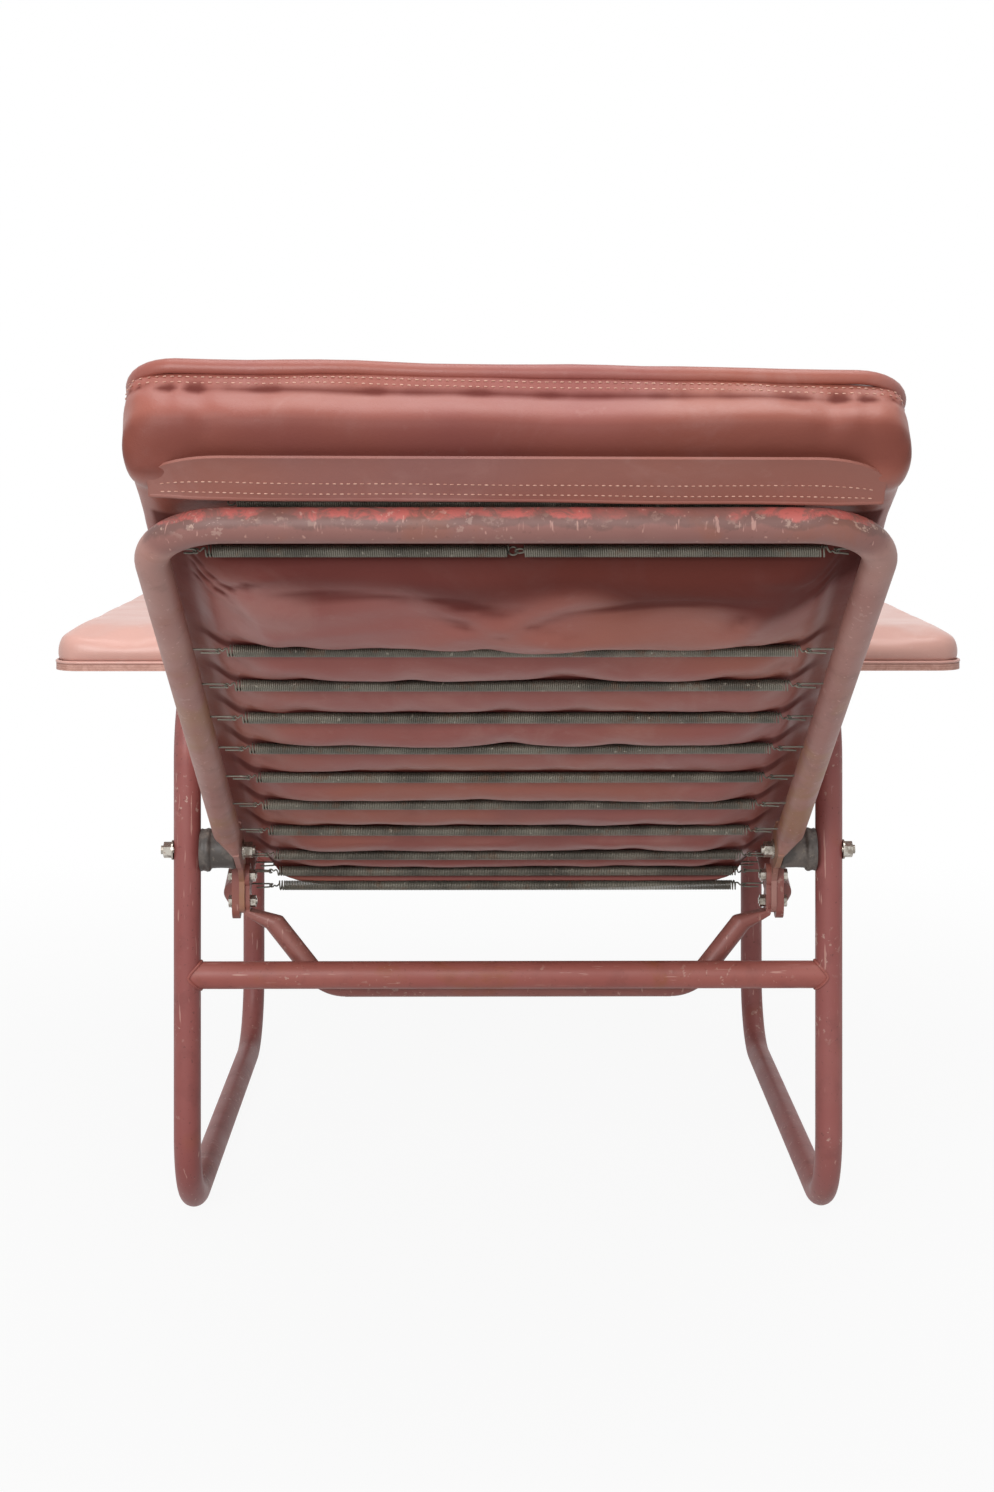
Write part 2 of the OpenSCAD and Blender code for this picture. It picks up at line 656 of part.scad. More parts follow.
// Hip bolts clamp the three flattened ends together
hip_head_x = seat_blade_x + seat_blade_t;
module hip_bolts() {
    color(zinc) chair() both_sides() for (b = [upper_bolt, lower_bolt]) {
        rod_x(bail_blade_x - hip_nut_t - hip_bolt_tail, hip_head_x, hip_bolt_d / 2,
            b[0], pivot_z + b[1]);
        translate([hip_head_x, b[0], pivot_z + b[1]]) rotate([0, 90, 0])
            cylinder(h = hip_bolt_head_t, r = hip_head_r, $fn = 6);
    }
}
module hip_nuts() {
    color(zinc) chair() both_sides() for (b = [upper_bolt, lower_bolt])
        hex_nut(bail_blade_x - hip_nut_t, hip_nut_t, hip_flats, hip_bolt_d / 2, b[0], pivot_z + b[1]);
}

// Springs: a close coil, open curls at its ends and a hook into each tube
rings_per_turn = 8;
wire_sides = 6;
curl_wire_r = wire_r * 0.96;
neck_len = 4;
curl_steps = rings_per_turn * open_turns;
neck_steps = 4;
// Centre of the wire, from inside the coil's end out to the neck
function curl_point(k) = k <= curl_steps
    ? let (a = 360 * k / rings_per_turn, x = -wire_d + (open_len + wire_d) * k / curl_steps)
        [x, coil_r * cos(a), coil_r * sin(a)]
    : let (q = (k - curl_steps) / neck_steps, a = 360 * open_turns + 90 * q)
        [open_len + neck_len * q, coil_r * (1 - q) * cos(a), coil_r * (1 - q) * sin(a)];
function curl_dir(k) = let (d = curl_point(min(k + 1, curl_steps + neck_steps))
    - curl_point(max(k - 1, 0))) d / norm(d);
function curl_ring(k) =
    let (c = curl_point(k), d = curl_dir(k),
        radial = [1, 0, 0] - (d * [1, 0, 0]) * d,
        u = radial / norm(radial), v = cross(d, u))
    [for (j = [0 : wire_sides - 1])
        let (a = 360 * j / wire_sides) c + curl_wire_r * (cos(a) * u + sin(a) * v)];
// Least distance of the curl's wire from its own next turn
curl_gap = min([for (i = [0 : curl_steps], j = [i + rings_per_turn / 2 : 1 : curl_steps + neck_steps])
    if (j > i) norm(curl_point(i) - curl_point(j))]) - 2 * curl_wire_r;
echo(curl_gap = curl_gap);

module spring_hook(reach, wall) {
    rod_x(-wire_d, hook_neck + wire_r, wire_r, 0, 0);
    translate([hook_neck + hook_r, 0, 0]) rotate([0, 0, 90])
        rotate_extrude(angle = 180) translate([hook_r, 0]) circle(r = wire_r);
    rod_x(hook_neck + hook_r, reach + wall, wire_r, hook_r, 0);
    rod_x(hook_neck + hook_r, reach - hook_tail, wire_r, -hook_r, 0);
}
// One end, drawn along +X with the coil's end at the origin
module spring_end(reach, wall, curled) {
    if (curled) {
        skin([for (k = [0 : curl_steps + neck_steps]) curl_ring(k)]);
        translate([open_len + neck_len, 0, 0])
            spring_hook(reach - open_len - neck_len, wall);
    } else {
        rod_x(-wire_d, end_lap, coil_r + wire_r, 0, 0);
        spring_hook(reach, wall);
    }
}
module coil_body(x0, x1) {
    difference() {
        rod_x(x0, x1, spring_d / 2, 0, 0);
        rod_x(x0 - bore_over, x1 + bore_over, spring_d / 2 - wire_d, 0, 0);
    }
}
module row_spring(curled, flip = 1, wall = hook_in_wall) {
    end_x = curled ? coil_half - open_len : coil_half;
    reach = lounge_inner_x - end_x;
    color(spring_grey) rotate([flip > 0 ? 0 : 180, 0, 0]) {
        coil_body(-end_x, end_x);
        translate([end_x, 0, 0]) spring_end(reach, wall, curled);
        mirror([1, 0, 0]) translate([end_x, 0, 0]) spring_end(reach, wall, curled);
    }
}
// The head springs are two half springs, linked ring through ring in the middle
module half_spring(s) {
    coil_end = pair_inner_x - hook_reach - open_len;
    coil_start = link_x + hook_r + end_lap;
    color(spring_grey) side(s) {
        coil_body(coil_start, coil_end);
        rod_x(coil_start - end_lap, coil_start + wire_d, coil_r + wire_r, 0, 0);
        translate([coil_end, 0, 0]) mirror([0, 1, 0])
            spring_end(pair_inner_x - coil_end, hook_in_wall, true);
        translate([link_x, 0, 0]) rotate([s > 0 ? 0 : 90, 0, 0])
            rotate_extrude() translate([hook_r, 0]) circle(r = wire_r);
    }
}
// Hooks that end in the flattened blade reach further out than those in the tube
blade_wall = blade_inset + hook_in_wall;
module back_spring(i) {
    on_back() translate([0, -back_row_u(i), 0])
        row_spring(true, -1, i == 0 ? blade_wall : hook_in_wall);
}
module head_spring(s) { on_back() translate([0, -pair_u, 0]) half_spring(s); }
// A plain spring that lies along the top bar, under the cushion
module top_spring() {
    half = lounge_x - back_corner_r - top_spring_inset;
    color(spring_grey) on_back()
        translate([0, -back_len, tube_r + body_gap + spring_d / 2]) {
            coil_body(-half, half);
            both_sides() rod_x(half - wire_d, half + end_lap, coil_r + wire_r, 0, 0);
        }
}
// Two springs close together where the back meets the seat
module hip_spring_rear() {
    chair() translate([0, hip_rear[0], pivot_z + hip_rear[1]]) row_spring(true, -1, blade_wall);
}
module hip_spring_front() { on_seat() translate([0, hip_row_s, 0]) row_spring(true); }
module seat_spring(i) { on_seat() translate([0, seat_row_s(i), 0]) row_spring(false); }
module leg_spring(i) { on_leg() translate([0, leg_row_s(i), 0]) row_spring(false); }

// Cushions: a crowned box with drawn-in sides and a belly between the tubes
function cushion_ring(y, draw = 0, lift = 0, sag = 1, shear = 0) =
    let (h = cushion_half - draw, b = belly_half - draw,
        low = edge_n + lift, high = cushion_top - lift, mid = (low + high) / 2,
        under = low - sag * (edge_n - belly_n), crown = crown_at(lift),
        half = [[b * 0.35, under], [b, under], [b + belly_slope, low], [h - 6, low + 1],
            [h, low + 9], [h - 3, mid], [h, high - 12], [h - 5, high - 3],
            [h - 18, high + crown * 0.2], [h * 0.72, high + crown * 0.6],
            [h * 0.35, high + crown * 0.95]],
        ring = concat(half, [for (i = [len(half) - 1 : -1 : 0]) [-half[i][0], half[i][1]]]))
    [for (p = ring) [p[0], y + p[1] * shear, p[1]]];
// One end's rings, counted inward from the end at y, in the direction of inward
function cushion_end(y, inward, sag, shear) = [for (e = end_steps)
    cushion_ring(y + inward * e[0], e[1], e[2], sag, shear)];
function backwards(list) = [for (i = [len(list) - 1 : -1 : 0]) list[i]];
// bare0 and bare1 are the lengths at each end that lie over a bar, without a belly
module cushion(y0, y1, bare0 = 0, bare1 = 0, shear0 = 0, shear1 = 0) {
    mid_steps = 5;
    end_len = end_steps[len(end_steps) - 1][0];
    mid_n = (edge_n + cushion_top) / 2;
    a = bare0 > 0 ? y0 + bare0 + belly_ramp : y0 + end_len + mid_n * shear0;
    b = bare1 > 0 ? y1 - bare1 - belly_ramp : y1 - end_len + mid_n * shear1;
    color(vinyl) skin(concat(
        cushion_end(y0, 1, bare0 > 0 ? 0 : 1, shear0),
        bare0 > 0 ? [cushion_ring(y0 + bare0, sag = 0), cushion_ring(a)] : [],
        [for (k = [1 : mid_steps - 1]) cushion_ring(a + (b - a) * k / mid_steps)],
        bare1 > 0 ? [cushion_ring(b), cushion_ring(y1 - bare1, sag = 0)] : [],
        backwards(cushion_end(y1, -1, bare1 > 0 ? 0 : 1, shear1))));
}
module back_cushion() {
    on_back() cushion(-head_u, hip_back_reach - soft_gap,
        bare0 = head_overhang + bar_clear, shear1 = -hip_slope);
}
module seat_cushion() {
    on_seat() cushion(hip_seat_reach + soft_gap, seat_len - soft_gap,
        shear0 = hip_slope, shear1 = knee_slope);
}
module leg_cushion() {
    on_leg() cushion(soft_gap, foot_u, bare1 = foot_overhang + bar_clear, shear0 = -knee_slope);
}
// Panel of the same cover under the head end, with its hem just past the top bar
module head_pocket() {
    color(vinyl) on_back()
        translate([pocket_inset - cushion_half, -pocket_end, edge_n - soft_gap - pocket_t])
            cube([cushion_w - 2 * pocket_inset, pocket_end - pocket_start, pocket_t]);
}

side_frame(-1);  // side_frame_left
side_frame(1);  // side_frame_right
crossbar(0, rear_bar_z);  // rear_crossbar
crossbar(leg_pitch, front_bar_z);  // front_crossbar
armrest_board(-1);  // armrest_board_left
armrest_board(1);  // armrest_board_right
armrest_pad(-1);  // armrest_pad_left
armrest_pad(1);  // armrest_pad_right
armrest_screws(-1);  // armrest_screws_left
armrest_screws(1);  // armrest_screws_right
pivot_bolt(-1);  // pivot_bolt_left
pivot_bolt(1);  // pivot_bolt_right
pivot_bush(-1);  // pivot_bush_left
pivot_bush(1);  // pivot_bush_right
pivot_nuts_outer();
pivot_nuts_inner();
pivot_washers();
back_frame();
seat_frame();
stop_bail();
hip_bolts();
hip_nuts();
back_spring(0);  // back_spring_1
back_spring(1);  // back_spring_2
back_spring(2);  // back_spring_3
back_spring(3);  // back_spring_4
back_spring(4);  // back_spring_5
back_spring(5);  // back_spring_6
back_spring(6);  // back_spring_7
back_spring(7);  // back_spring_8
top_spring();
head_spring(-1);  // head_spring_left
head_spring(1);  // head_spring_right
hip_spring_rear();
hip_spring_front();
seat_spring(0);  // seat_spring_1
seat_spring(1);  // seat_spring_2
seat_spring(2);  // seat_spring_3
seat_spring(3);  // seat_spring_4
seat_spring(4);  // seat_spring_5
seat_spring(5);  // seat_spring_6
leg_spring(0);  // leg_spring_1
leg_spring(1);  // leg_spring_2
leg_spring(2);  // leg_spring_3
leg_spring(3);  // leg_spring_4
leg_spring(4);  // leg_spring_5
back_cushion();
seat_cushion();
leg_cushion();
head_pocket();
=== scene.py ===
"""Looks of the spring-strung tubular lounge chair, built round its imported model.

Worn painted tubes, close-coiled springs with their hooks and clips, stuffed
vinyl cushions, padded armrests, rubber bushes, weld beads and a plain studio.
"""

import json
import logging
import math
from dataclasses import dataclass, field
from enum import Enum
from functools import reduce
from typing import Callable, Iterable, Sequence

import bmesh
import bpy
from mathutils import Matrix, Vector, noise
from mathutils.bvhtree import BVHTree


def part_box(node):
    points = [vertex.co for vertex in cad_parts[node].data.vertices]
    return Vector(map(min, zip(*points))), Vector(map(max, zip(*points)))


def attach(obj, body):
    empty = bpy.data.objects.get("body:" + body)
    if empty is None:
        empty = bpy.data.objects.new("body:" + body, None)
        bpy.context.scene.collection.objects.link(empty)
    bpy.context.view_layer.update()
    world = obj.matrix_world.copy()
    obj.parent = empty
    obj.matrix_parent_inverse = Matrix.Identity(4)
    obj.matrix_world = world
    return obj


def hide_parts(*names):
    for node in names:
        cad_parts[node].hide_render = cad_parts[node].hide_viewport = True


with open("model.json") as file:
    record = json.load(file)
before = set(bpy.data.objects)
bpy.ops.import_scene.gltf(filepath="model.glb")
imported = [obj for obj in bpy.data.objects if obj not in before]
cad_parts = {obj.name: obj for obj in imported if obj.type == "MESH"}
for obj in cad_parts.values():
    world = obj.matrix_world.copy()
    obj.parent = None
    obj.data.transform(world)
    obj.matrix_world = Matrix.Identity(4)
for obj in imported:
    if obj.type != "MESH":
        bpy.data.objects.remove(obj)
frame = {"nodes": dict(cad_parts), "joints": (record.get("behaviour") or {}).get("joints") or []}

LOG = logging.getLogger("lounge_chair")
MM = 0.001
TO_MM = 1000
Colour = tuple[float, float, float, float]
Socket = bpy.types.NodeSocket
Feed = Socket | float | Sequence[float]
Node, NodeTree, Material = bpy.types.Node, bpy.types.NodeTree, bpy.types.Material
Piece = bpy.types.Object
BMesh, BMVert, BMEdge = bmesh.types.BMesh, bmesh.types.BMVert, bmesh.types.BMEdge


class Side(Enum):
    """The chair's two sides, seen along +Y."""

    LEFT = -1
    RIGHT = 1


class Body(Enum):
    """The two bodies that the hinge joins."""

    BASE = "base"
    LOUNGE = "lounge"


class Slot(Enum):
    """The names of the record's material slots."""

    PAINT = "frame_paint"
    VINYL = "mattress_vinyl"
    ARM_VINYL = "armrest_vinyl"
    SPRING = "spring_wire"
    RUBBER = "bush_rubber"


def shade(red: int, green: int, blue: int) -> Colour:
    """Turns a display colour into the linear colour that the shader takes.

    Args:
        red: Red from 0 to 255.
        green: Green from 0 to 255.
        blue: Blue from 0 to 255.

    Returns:
        The linear colour with full alpha.
    """
    def one(value: int) -> float:
        """Linear value of one channel."""
        part = value / 255
        return part / 12.92 if part <= 0.04045 else ((part + 0.055) / 1.055) ** 2.4
    return (one(red), one(green), one(blue), 1.0)


def ease(low: float, high: float, value: float) -> float:
    """Runs smoothly from 0 at low to 1 at high.

    Args:
        low: Where the ramp starts; it may be above high.
        high: Where the ramp ends.
        value: Where it is read.

    Returns:
        The eased share.
    """
    part = min(1.0, max(0.0, (value - low) / (high - low)))
    return part * part * (3 - 2 * part)


def hump(value: float, centre: float, width: float) -> float:
    """A bell that is 1 at its centre."""
    return math.exp(-((value - centre) / width) ** 2)


@dataclass(frozen=True)
class Plane:
    """A working plane of the chair, turned about X at a point of the row's frame."""

    origin: Vector
    tilt: float

    def metric(self) -> Matrix:
        """Matrix from the plane's metres to the row's frame."""
        return Matrix.Translation(self.origin * MM) @ Matrix.Rotation(math.radians(self.tilt), 4, "X")

    def drawn(self) -> Matrix:
        """Matrix from the plane's millimetres to the row's frame."""
        return self.metric() @ Matrix.Scale(MM, 4)


@dataclass(frozen=True)
class ChairPlanes:
    """The frames of reference that the chair was drawn in, from its hinge."""

    pivot: Vector
    back_angle: float = 30.5
    seat_angle: float = 18.0
    leg_angle: float = 28.0
    hip: Vector = field(default_factory=lambda: Vector((0, 62, -44)))
    seat_len: float = 455.0

    def chair(self) -> Plane:
        """Level plane through the floor, with the pivot axis over its X axis."""
        return Plane(Vector((0, self.pivot.y, 0)), 0)

    def back(self) -> Plane:
        """Plane of the back: Y points down the back, Z out of its front."""
        return Plane(self.pivot, -self.back_angle)

    def seat(self) -> Plane:
        """Plane of the seat, from the hip forward."""
        return Plane(self.pivot + self.hip, self.seat_angle)

    def leg(self) -> Plane:
        """Plane of the leg rest, from the knee forward."""
        turn = math.radians(self.seat_angle)
        knee = Vector((0, self.seat_len * math.cos(turn), self.seat_len * math.sin(turn)))
        return Plane(self.pivot + self.hip + knee, -self.leg_angle)


PLANES = ChairPlanes(Vector(frame["joints"][0]["pos_m"]) / MM)
FRAME_X = 297.0
TUBE_R = 12.5
PIVOT_Z = PLANES.pivot.z
X_AXIS, Y_AXIS, Z_AXIS = Vector((1, 0, 0)), Vector((0, 1, 0)), Vector((0, 0, 1))
SQUARE = ((1, 1), (-1, 1), (-1, -1), (1, -1))
WHITE = (1.0, 1.0, 1.0, 1.0)


# ---------------------------------------------------------------- finishes


class NodeSheet:
    """A node tree with short calls for the nodes that the looks use."""

    def __init__(self, tree: NodeTree) -> None:
        """Takes over a tree and empties it."""
        self.tree = tree
        tree.nodes.clear()

    def add(self, kind: str) -> Node:
        """Adds a node of a kind."""
        return self.tree.nodes.new(kind)

    def feed(self, node: Node, inputs: dict[str | int, Feed]) -> None:
        """Links or sets some inputs of a node.

        Args:
            node: The node.
            inputs: For each input an output to link, or a plain value.
        """
        for name, value in inputs.items():
            if isinstance(value, Socket):
                self.tree.links.new(value, node.inputs[name])
            else:
                node.inputs[name].default_value = value

    def put(self, kind: str, output: str | int, inputs: dict[str | int, Feed], **settings: str) -> Socket:
        """Adds a node and feeds it.

        Args:
            kind: The node's kind.
            output: The output that is wanted.
            inputs: What goes into its inputs.
            settings: Its other settings.

        Returns:
            The output.
        """
        node = self.add(kind)
        for name, value in settings.items():
            setattr(node, name, value)
        self.feed(node, inputs)
        return node.outputs[output]

    def math(self, work: str, first: Feed, second: Feed = 0.0) -> Socket:
        """A math node's output."""
        return self.put("ShaderNodeMath", 0, {0: first, 1: second}, operation=work)

    def ramp(self, value: Feed, ends: tuple[float, float], levels: tuple[float, float]) -> Socket:
        """A smooth ramp that goes through two levels between two ends."""
        inputs = {"Value": value, "From Min": ends[0], "From Max": ends[1],
                  "To Min": levels[0], "To Max": levels[1]}
        return self.put("ShaderNodeMapRange", "Result", inputs, interpolation_type="SMOOTHSTEP")


class FinishSheet(NodeSheet):
    """The node tree of a finish, with a shader and the piece's own coordinates."""

    def __init__(self, name: str) -> None:
        """Starts a material with a shader and its output.

        Args:
            name: The material's name.
        """
        self.material = bpy.data.materials.new(name)
        self.material.use_nodes = True
        super().__init__(self.material.node_tree)
        self.shader = self.add("ShaderNodeBsdfPrincipled")
        self.feed(self.add("ShaderNodeOutputMaterial"), {"Surface": self.shader.outputs["BSDF"]})
        self.place = self.add("ShaderNodeTexCoord")
        self.spot = self.place.outputs["Object"]

    def step(self, value: Feed, low: float, high: float) -> Socket:
        """A smooth step from 0 at low to 1 at high, which may lie below it."""
        ends, levels = ((high, low), (1.0, 0.0)) if low > high else ((low, high), (0.0, 1.0))
        return self.ramp(value, ends, levels)

    def both(self, first: Feed, *masks: Feed) -> Socket:
        """The product of several masks."""
        return reduce(lambda result, mask: self.math("MULTIPLY", result, mask), masks, first)

    def mix(self, mask: Feed, first: Socket | Colour, second: Socket | Colour) -> Socket:
        """A colour that goes from the first to the second by a mask."""
        return self.put("ShaderNodeMix", 2, {0: mask, 6: first, 7: second}, data_type="RGBA")

    def stretched(self, scale: Sequence[float]) -> Socket:
        """The object's coordinates with another scale along each axis."""
        return self.put("ShaderNodeMapping", "Vector", {"Vector": self.spot, "Scale": scale})

    def cloud(self, scale: float, detail: float = 4.0, rough: float = 0.55,
              where: Socket | None = None, distortion: float = 0.0) -> Socket:
        """Noise from about 0.3 to 0.7.

        Args:
            scale: Waves in a metre.
            detail: Number of finer layers.
            rough: Weight of the finer layers.
            where: Coordinates, or the object's own.
            distortion: How much the noise is folded.

        Returns:
            The noise's value.
        """
        return self.put("ShaderNodeTexNoise", "Fac", {
            "Vector": where or self.spot, "Scale": scale, "Detail": detail, "Roughness": rough,
            "Distortion": distortion})

    def stain(self, tone: Socket, colour: Colour, amount: float, edge: tuple[float, float],
              *noise_sizes: float, distortion: float = 0.0) -> Socket:
        """Lays cloudy patches of another colour over a tone.

        Args:
            tone: The colour so far.
            colour: The patches' colour.
            amount: How much of it shows at most.
            edge: Levels of the noise between which a patch comes in.
            noise_sizes: Scale, detail and roughness of the noise.
            distortion: How much the noise is folded.

        Returns:
            The stained colour.
        """
        mask = self.step(self.cloud(*noise_sizes, distortion=distortion), *edge)
        return self.mix(self.both(mask, amount), tone, colour)

    def cells(self, scale: float) -> Socket:
        """Distance to the nearest of scattered points."""
        return self.put("ShaderNodeTexVoronoi", "Distance", {"Vector": self.spot, "Scale": scale})

    def dot(self, value: Socket, direction: Vector) -> Socket:
        """The part of a vector that lies along a direction."""
        return self.put("ShaderNodeVectorMath", "Value", {0: value, 1: direction},
                        operation="DOT_PRODUCT")

    def along(self, direction: Vector, origin: Vector = Vector()) -> Socket:
        """Distance of a point from an origin along a direction, in metres."""
        return self.math("SUBTRACT", self.dot(self.spot, direction), direction.dot(origin))

    def facing(self, direction: Vector) -> Socket:
        """How much the surface faces a direction of the object's own frame."""
        return self.dot(self.place.outputs["Normal"], direction)

    def attribute(self, name: str) -> Socket:
        """A float attribute of the piece."""
        return self.put("ShaderNodeAttribute", "Fac", {}, attribute_name=name)

    def relief(self, height: Socket, strength: float, depth: float,
               under: Socket | None = None) -> Socket:
        """A bump from a height.

        Args:
            height: The height's socket.
            strength: Share of the bump that shows.
            depth: Height of the relief in metres.
            under: A coarser relief to lay it on.

        Returns:
            The bumped normal.
        """
        inputs = {"Strength": strength, "Distance": depth, "Height": height}
        if under is not None:
            inputs["Normal"] = under
        return self.put("ShaderNodeBump", "Normal", inputs)

    def finish(self, colour: Socket, rough: Feed, normal: Socket, metallic: float = 0.0) -> Material:
        """Feeds the shader and hands the material over."""
        self.feed(self.shader, {"Base Color": colour, "Roughness": rough, "Normal": normal,
                                "Metallic": metallic})
        return self.material


@dataclass(frozen=True)
class WornPaint:
    """Old red-brown enamel on tube: faded on top, scuffed, chipped and touched with rust."""

    name: str
    base: Colour
    faded: Colour
    fade: float = 0.5
    rust: float = 0.3
    chips: float = 0.3
    along_x: bool = False

    def build(self) -> Material:
        """Builds the material.

        Returns:
            The finished material.
        """
        sheet = FinishSheet(self.name)
        return self.coats(sheet, self.ground(sheet))

    def ground(self, sheet: FinishSheet) -> Socket:
        """The faded and mottled paint under the wear.

        Args:
            sheet: The material's node sheet.

        Returns:
            The paint's colour.
        """
        drift = sheet.step(sheet.cloud(9.0, 3.0), 0.36, 0.66)
        up = sheet.step(sheet.facing(Z_AXIS), -0.2, 1.0)
        worn = sheet.math("MULTIPLY", sheet.math("ADD", drift, up), 0.5 * self.fade)
        deep = tuple(0.62 * part for part in self.base[:3]) + (1.0,)
        tone = sheet.mix(worn, self.base, self.faded)
        return sheet.stain(tone, deep, 0.35, (0.50, 0.68), 34.0, 5.0, 0.6)

    def coats(self, sheet: FinishSheet, tone: Socket) -> Material:
        """Lays rust bloom, scratches and chips over the paint.

        Args:
            sheet: The material's node sheet.
            tone: The colour so far.

        Returns:
            The finished material.
        """
        tone = sheet.stain(tone, shade(150, 84, 52), self.rust, (0.55, 0.70), 17.0, 5.0, 0.62,
                           distortion=0.6)
        stretch = (6.0, 60.0, 60.0) if self.along_x else (60.0, 60.0, 6.0)
        lines = sheet.cloud(5.0, 2.0, 0.5, where=sheet.stretched(stretch))
        scratch = sheet.both(sheet.step(lines, 0.66, 0.72), 0.55)
        tone = sheet.mix(scratch, tone, shade(206, 160, 148))
        spots = sheet.cloud(150.0, 3.0, 0.6)
        where = sheet.step(sheet.cloud(13.0, 3.0), 0.52, 0.66)
        chip = sheet.both(sheet.step(spots, 0.60, 0.65), where, self.chips)
        tone = sheet.mix(chip, tone, shade(214, 186, 172))
        tone = sheet.stain(tone, shade(74, 42, 36), 0.7 * self.chips, (0.66, 0.70), 260.0, 2.0)
        rough = sheet.math("ADD", 0.38, sheet.both(sheet.cloud(30.0, 4.0), 0.30))
        skin = sheet.relief(sheet.cloud(420.0, 3.0), 0.10, 0.0006)
        edge = sheet.relief(sheet.math("SUBTRACT", 1.0, chip), 0.35, 0.0004, skin)
        sheet.feed(sheet.shader, {"Coat Weight": 0.06, "Coat Roughness": 0.25})
        return sheet.finish(tone, rough, edge)


@dataclass(frozen=True)
class WornBackPaint(WornPaint):
    """The back tube's paint: dusty sides, and a top bar rubbed bright red and grey."""

    plane: Plane = PLANES.back()
    bar_u: float = 640.0

    def build(self) -> Material:
        """Builds the material.

        Returns:
            The finished material.
        """
        sheet = FinishSheet(self.name)
        tone = self.ground(sheet)
        up_back = self.plane.metric().to_3x3() @ -Y_AXIS
        high = sheet.along(up_back, self.plane.origin * MM)
        patch = sheet.step(sheet.cloud(8.0, 4.0, 0.6, distortion=0.4), 0.50, 0.62)
        outer = sheet.step(high, 0.52, 0.30)
        tone = sheet.mix(sheet.both(patch, outer, 0.85), tone, shade(162, 117, 86))
        on_bar = sheet.step(high, (self.bar_u - 26) * MM, (self.bar_u - 12) * MM)
        tone = sheet.mix(sheet.both(on_bar, 0.8), tone, shade(128, 84, 78))
        upward = sheet.facing(Vector((0, -0.30, 0.95)))
        wobble = sheet.math("ADD", upward, sheet.both(sheet.math("SUBTRACT",
                            sheet.cloud(28.0, 5.0, 0.65), 0.5), 1.6))
        grey = sheet.both(on_bar, sheet.step(wobble, 0.12, 0.34), sheet.step(wobble, 0.95, 0.55), 0.85)
        tone = sheet.mix(grey, tone, shade(116, 82, 76))
        patchy = sheet.both(sheet.step(sheet.cloud(11.0, 5.0, 0.6), 0.36, 0.52),
                            sheet.step(sheet.cloud(58.0, 6.0, 0.75, distortion=0.8), 0.40, 0.56))
        red = sheet.both(on_bar, sheet.step(wobble, 0.62, 0.78), patchy, 0.9)
        tone = sheet.mix(red, tone, shade(196, 104, 97))
        flakes = sheet.step(sheet.cloud(90.0, 5.0, 0.7), 0.55, 0.60)
        ridge = sheet.both(sheet.step(wobble, 0.30, 0.44), sheet.step(wobble, 0.80, 0.58))
        ends = sheet.step(sheet.math("ABSOLUTE", sheet.along(X_AXIS)), 0.12, 0.24)
        amount = sheet.math("ADD", 0.22, sheet.both(ends, 0.7))
        chips = sheet.both(on_bar, flakes, ridge, amount)
        tone = sheet.mix(sheet.both(chips, 0.75), tone, shade(208, 176, 160))
        return self.coats(sheet, tone)


@dataclass(frozen=True)
class CoatedCloth:
    """Supple coated cloth: fine leather grain, sun-faded tone, and painted shade in folds and sheltered
    places.
    """

    name: str
    base: Colour
    warm: Colour
    pale: Colour
    # Colour of the painted shade in folds and sheltered places.
    crease: Colour
    rough: float = 0.40
    grain: float = 1.0

    def build(self) -> Material:
        """Builds the material.

        Returns:
            The finished material.
        """
        sheet = FinishSheet(self.name)
        drift = sheet.step(sheet.cloud(4.5, 3.0, 0.5), 0.38, 0.64)
        tone = sheet.mix(drift, self.base, self.warm)
        tone = sheet.stain(tone, self.pale, 0.45, (0.50, 0.72), 13.0, 6.0, 0.6, distortion=0.8)
        tone = sheet.stain(tone, self.pale, 0.22, (0.60, 0.72), 70.0, 5.0, 0.7)
        # Painted shade: darkens towards the shade colour where the cushion's attribute marks folds,
        # spring rows, the seam and sheltered places.
        deep = sheet.step(sheet.attribute("crease"), 0.05, 0.9)
        tone = sheet.mix(sheet.both(deep, 0.8), tone, self.crease)
        leather = sheet.math("ADD", sheet.cells(1050.0), sheet.cloud(620.0, 3.0))
        soft = sheet.relief(sheet.cloud(38.0, 4.0, 0.5, distortion=0.7), 0.16, 0.004)
        skin = sheet.relief(leather, 0.13 * self.grain, 0.0006, soft)
        sheen = sheet.math("ADD", self.rough, sheet.both(sheet.math(
            "SUBTRACT", sheet.cloud(21.0, 4.0), 0.5), 0.30))
        # Less specular and rougher where the shade is painted.
        gloss = sheet.math("SUBTRACT", 0.42, sheet.both(deep, 0.34))
        sheet.feed(sheet.shader, {"Specular IOR Level": gloss})
        return sheet.finish(tone, sheet.math("ADD", sheen, sheet.both(deep, 0.25)), skin)


@dataclass(frozen=True)
class SpringWire:
    """Oiled spring steel gone grey-green, with brown dust between the coils."""

    name: str = "spring_steel"
    light: Colour = shade(134, 129, 117)
    dark: Colour = shade(98, 94, 85)

    def build(self) -> Material:
        """Builds the material.

        Returns:
            The finished material.
        """
        sheet = FinishSheet(self.name)
        tone = sheet.mix(sheet.step(sheet.cloud(24.0, 4.0, 0.6), 0.34, 0.66), self.dark, self.light)
        tone = sheet.stain(tone, shade(122, 96, 78), 0.55, (0.54, 0.66), 60.0, 5.0, 0.7)
        tone = sheet.stain(tone, shade(198, 192, 176), 0.5, (0.68, 0.72), 190.0, 2.0)
        rough = sheet.math("ADD", 0.34, sheet.both(sheet.cloud(80.0, 3.0), 0.28))
        return sheet.finish(tone, rough, sheet.relief(sheet.cloud(900.0, 2.0), 0.12, 0.0003), 0.4)


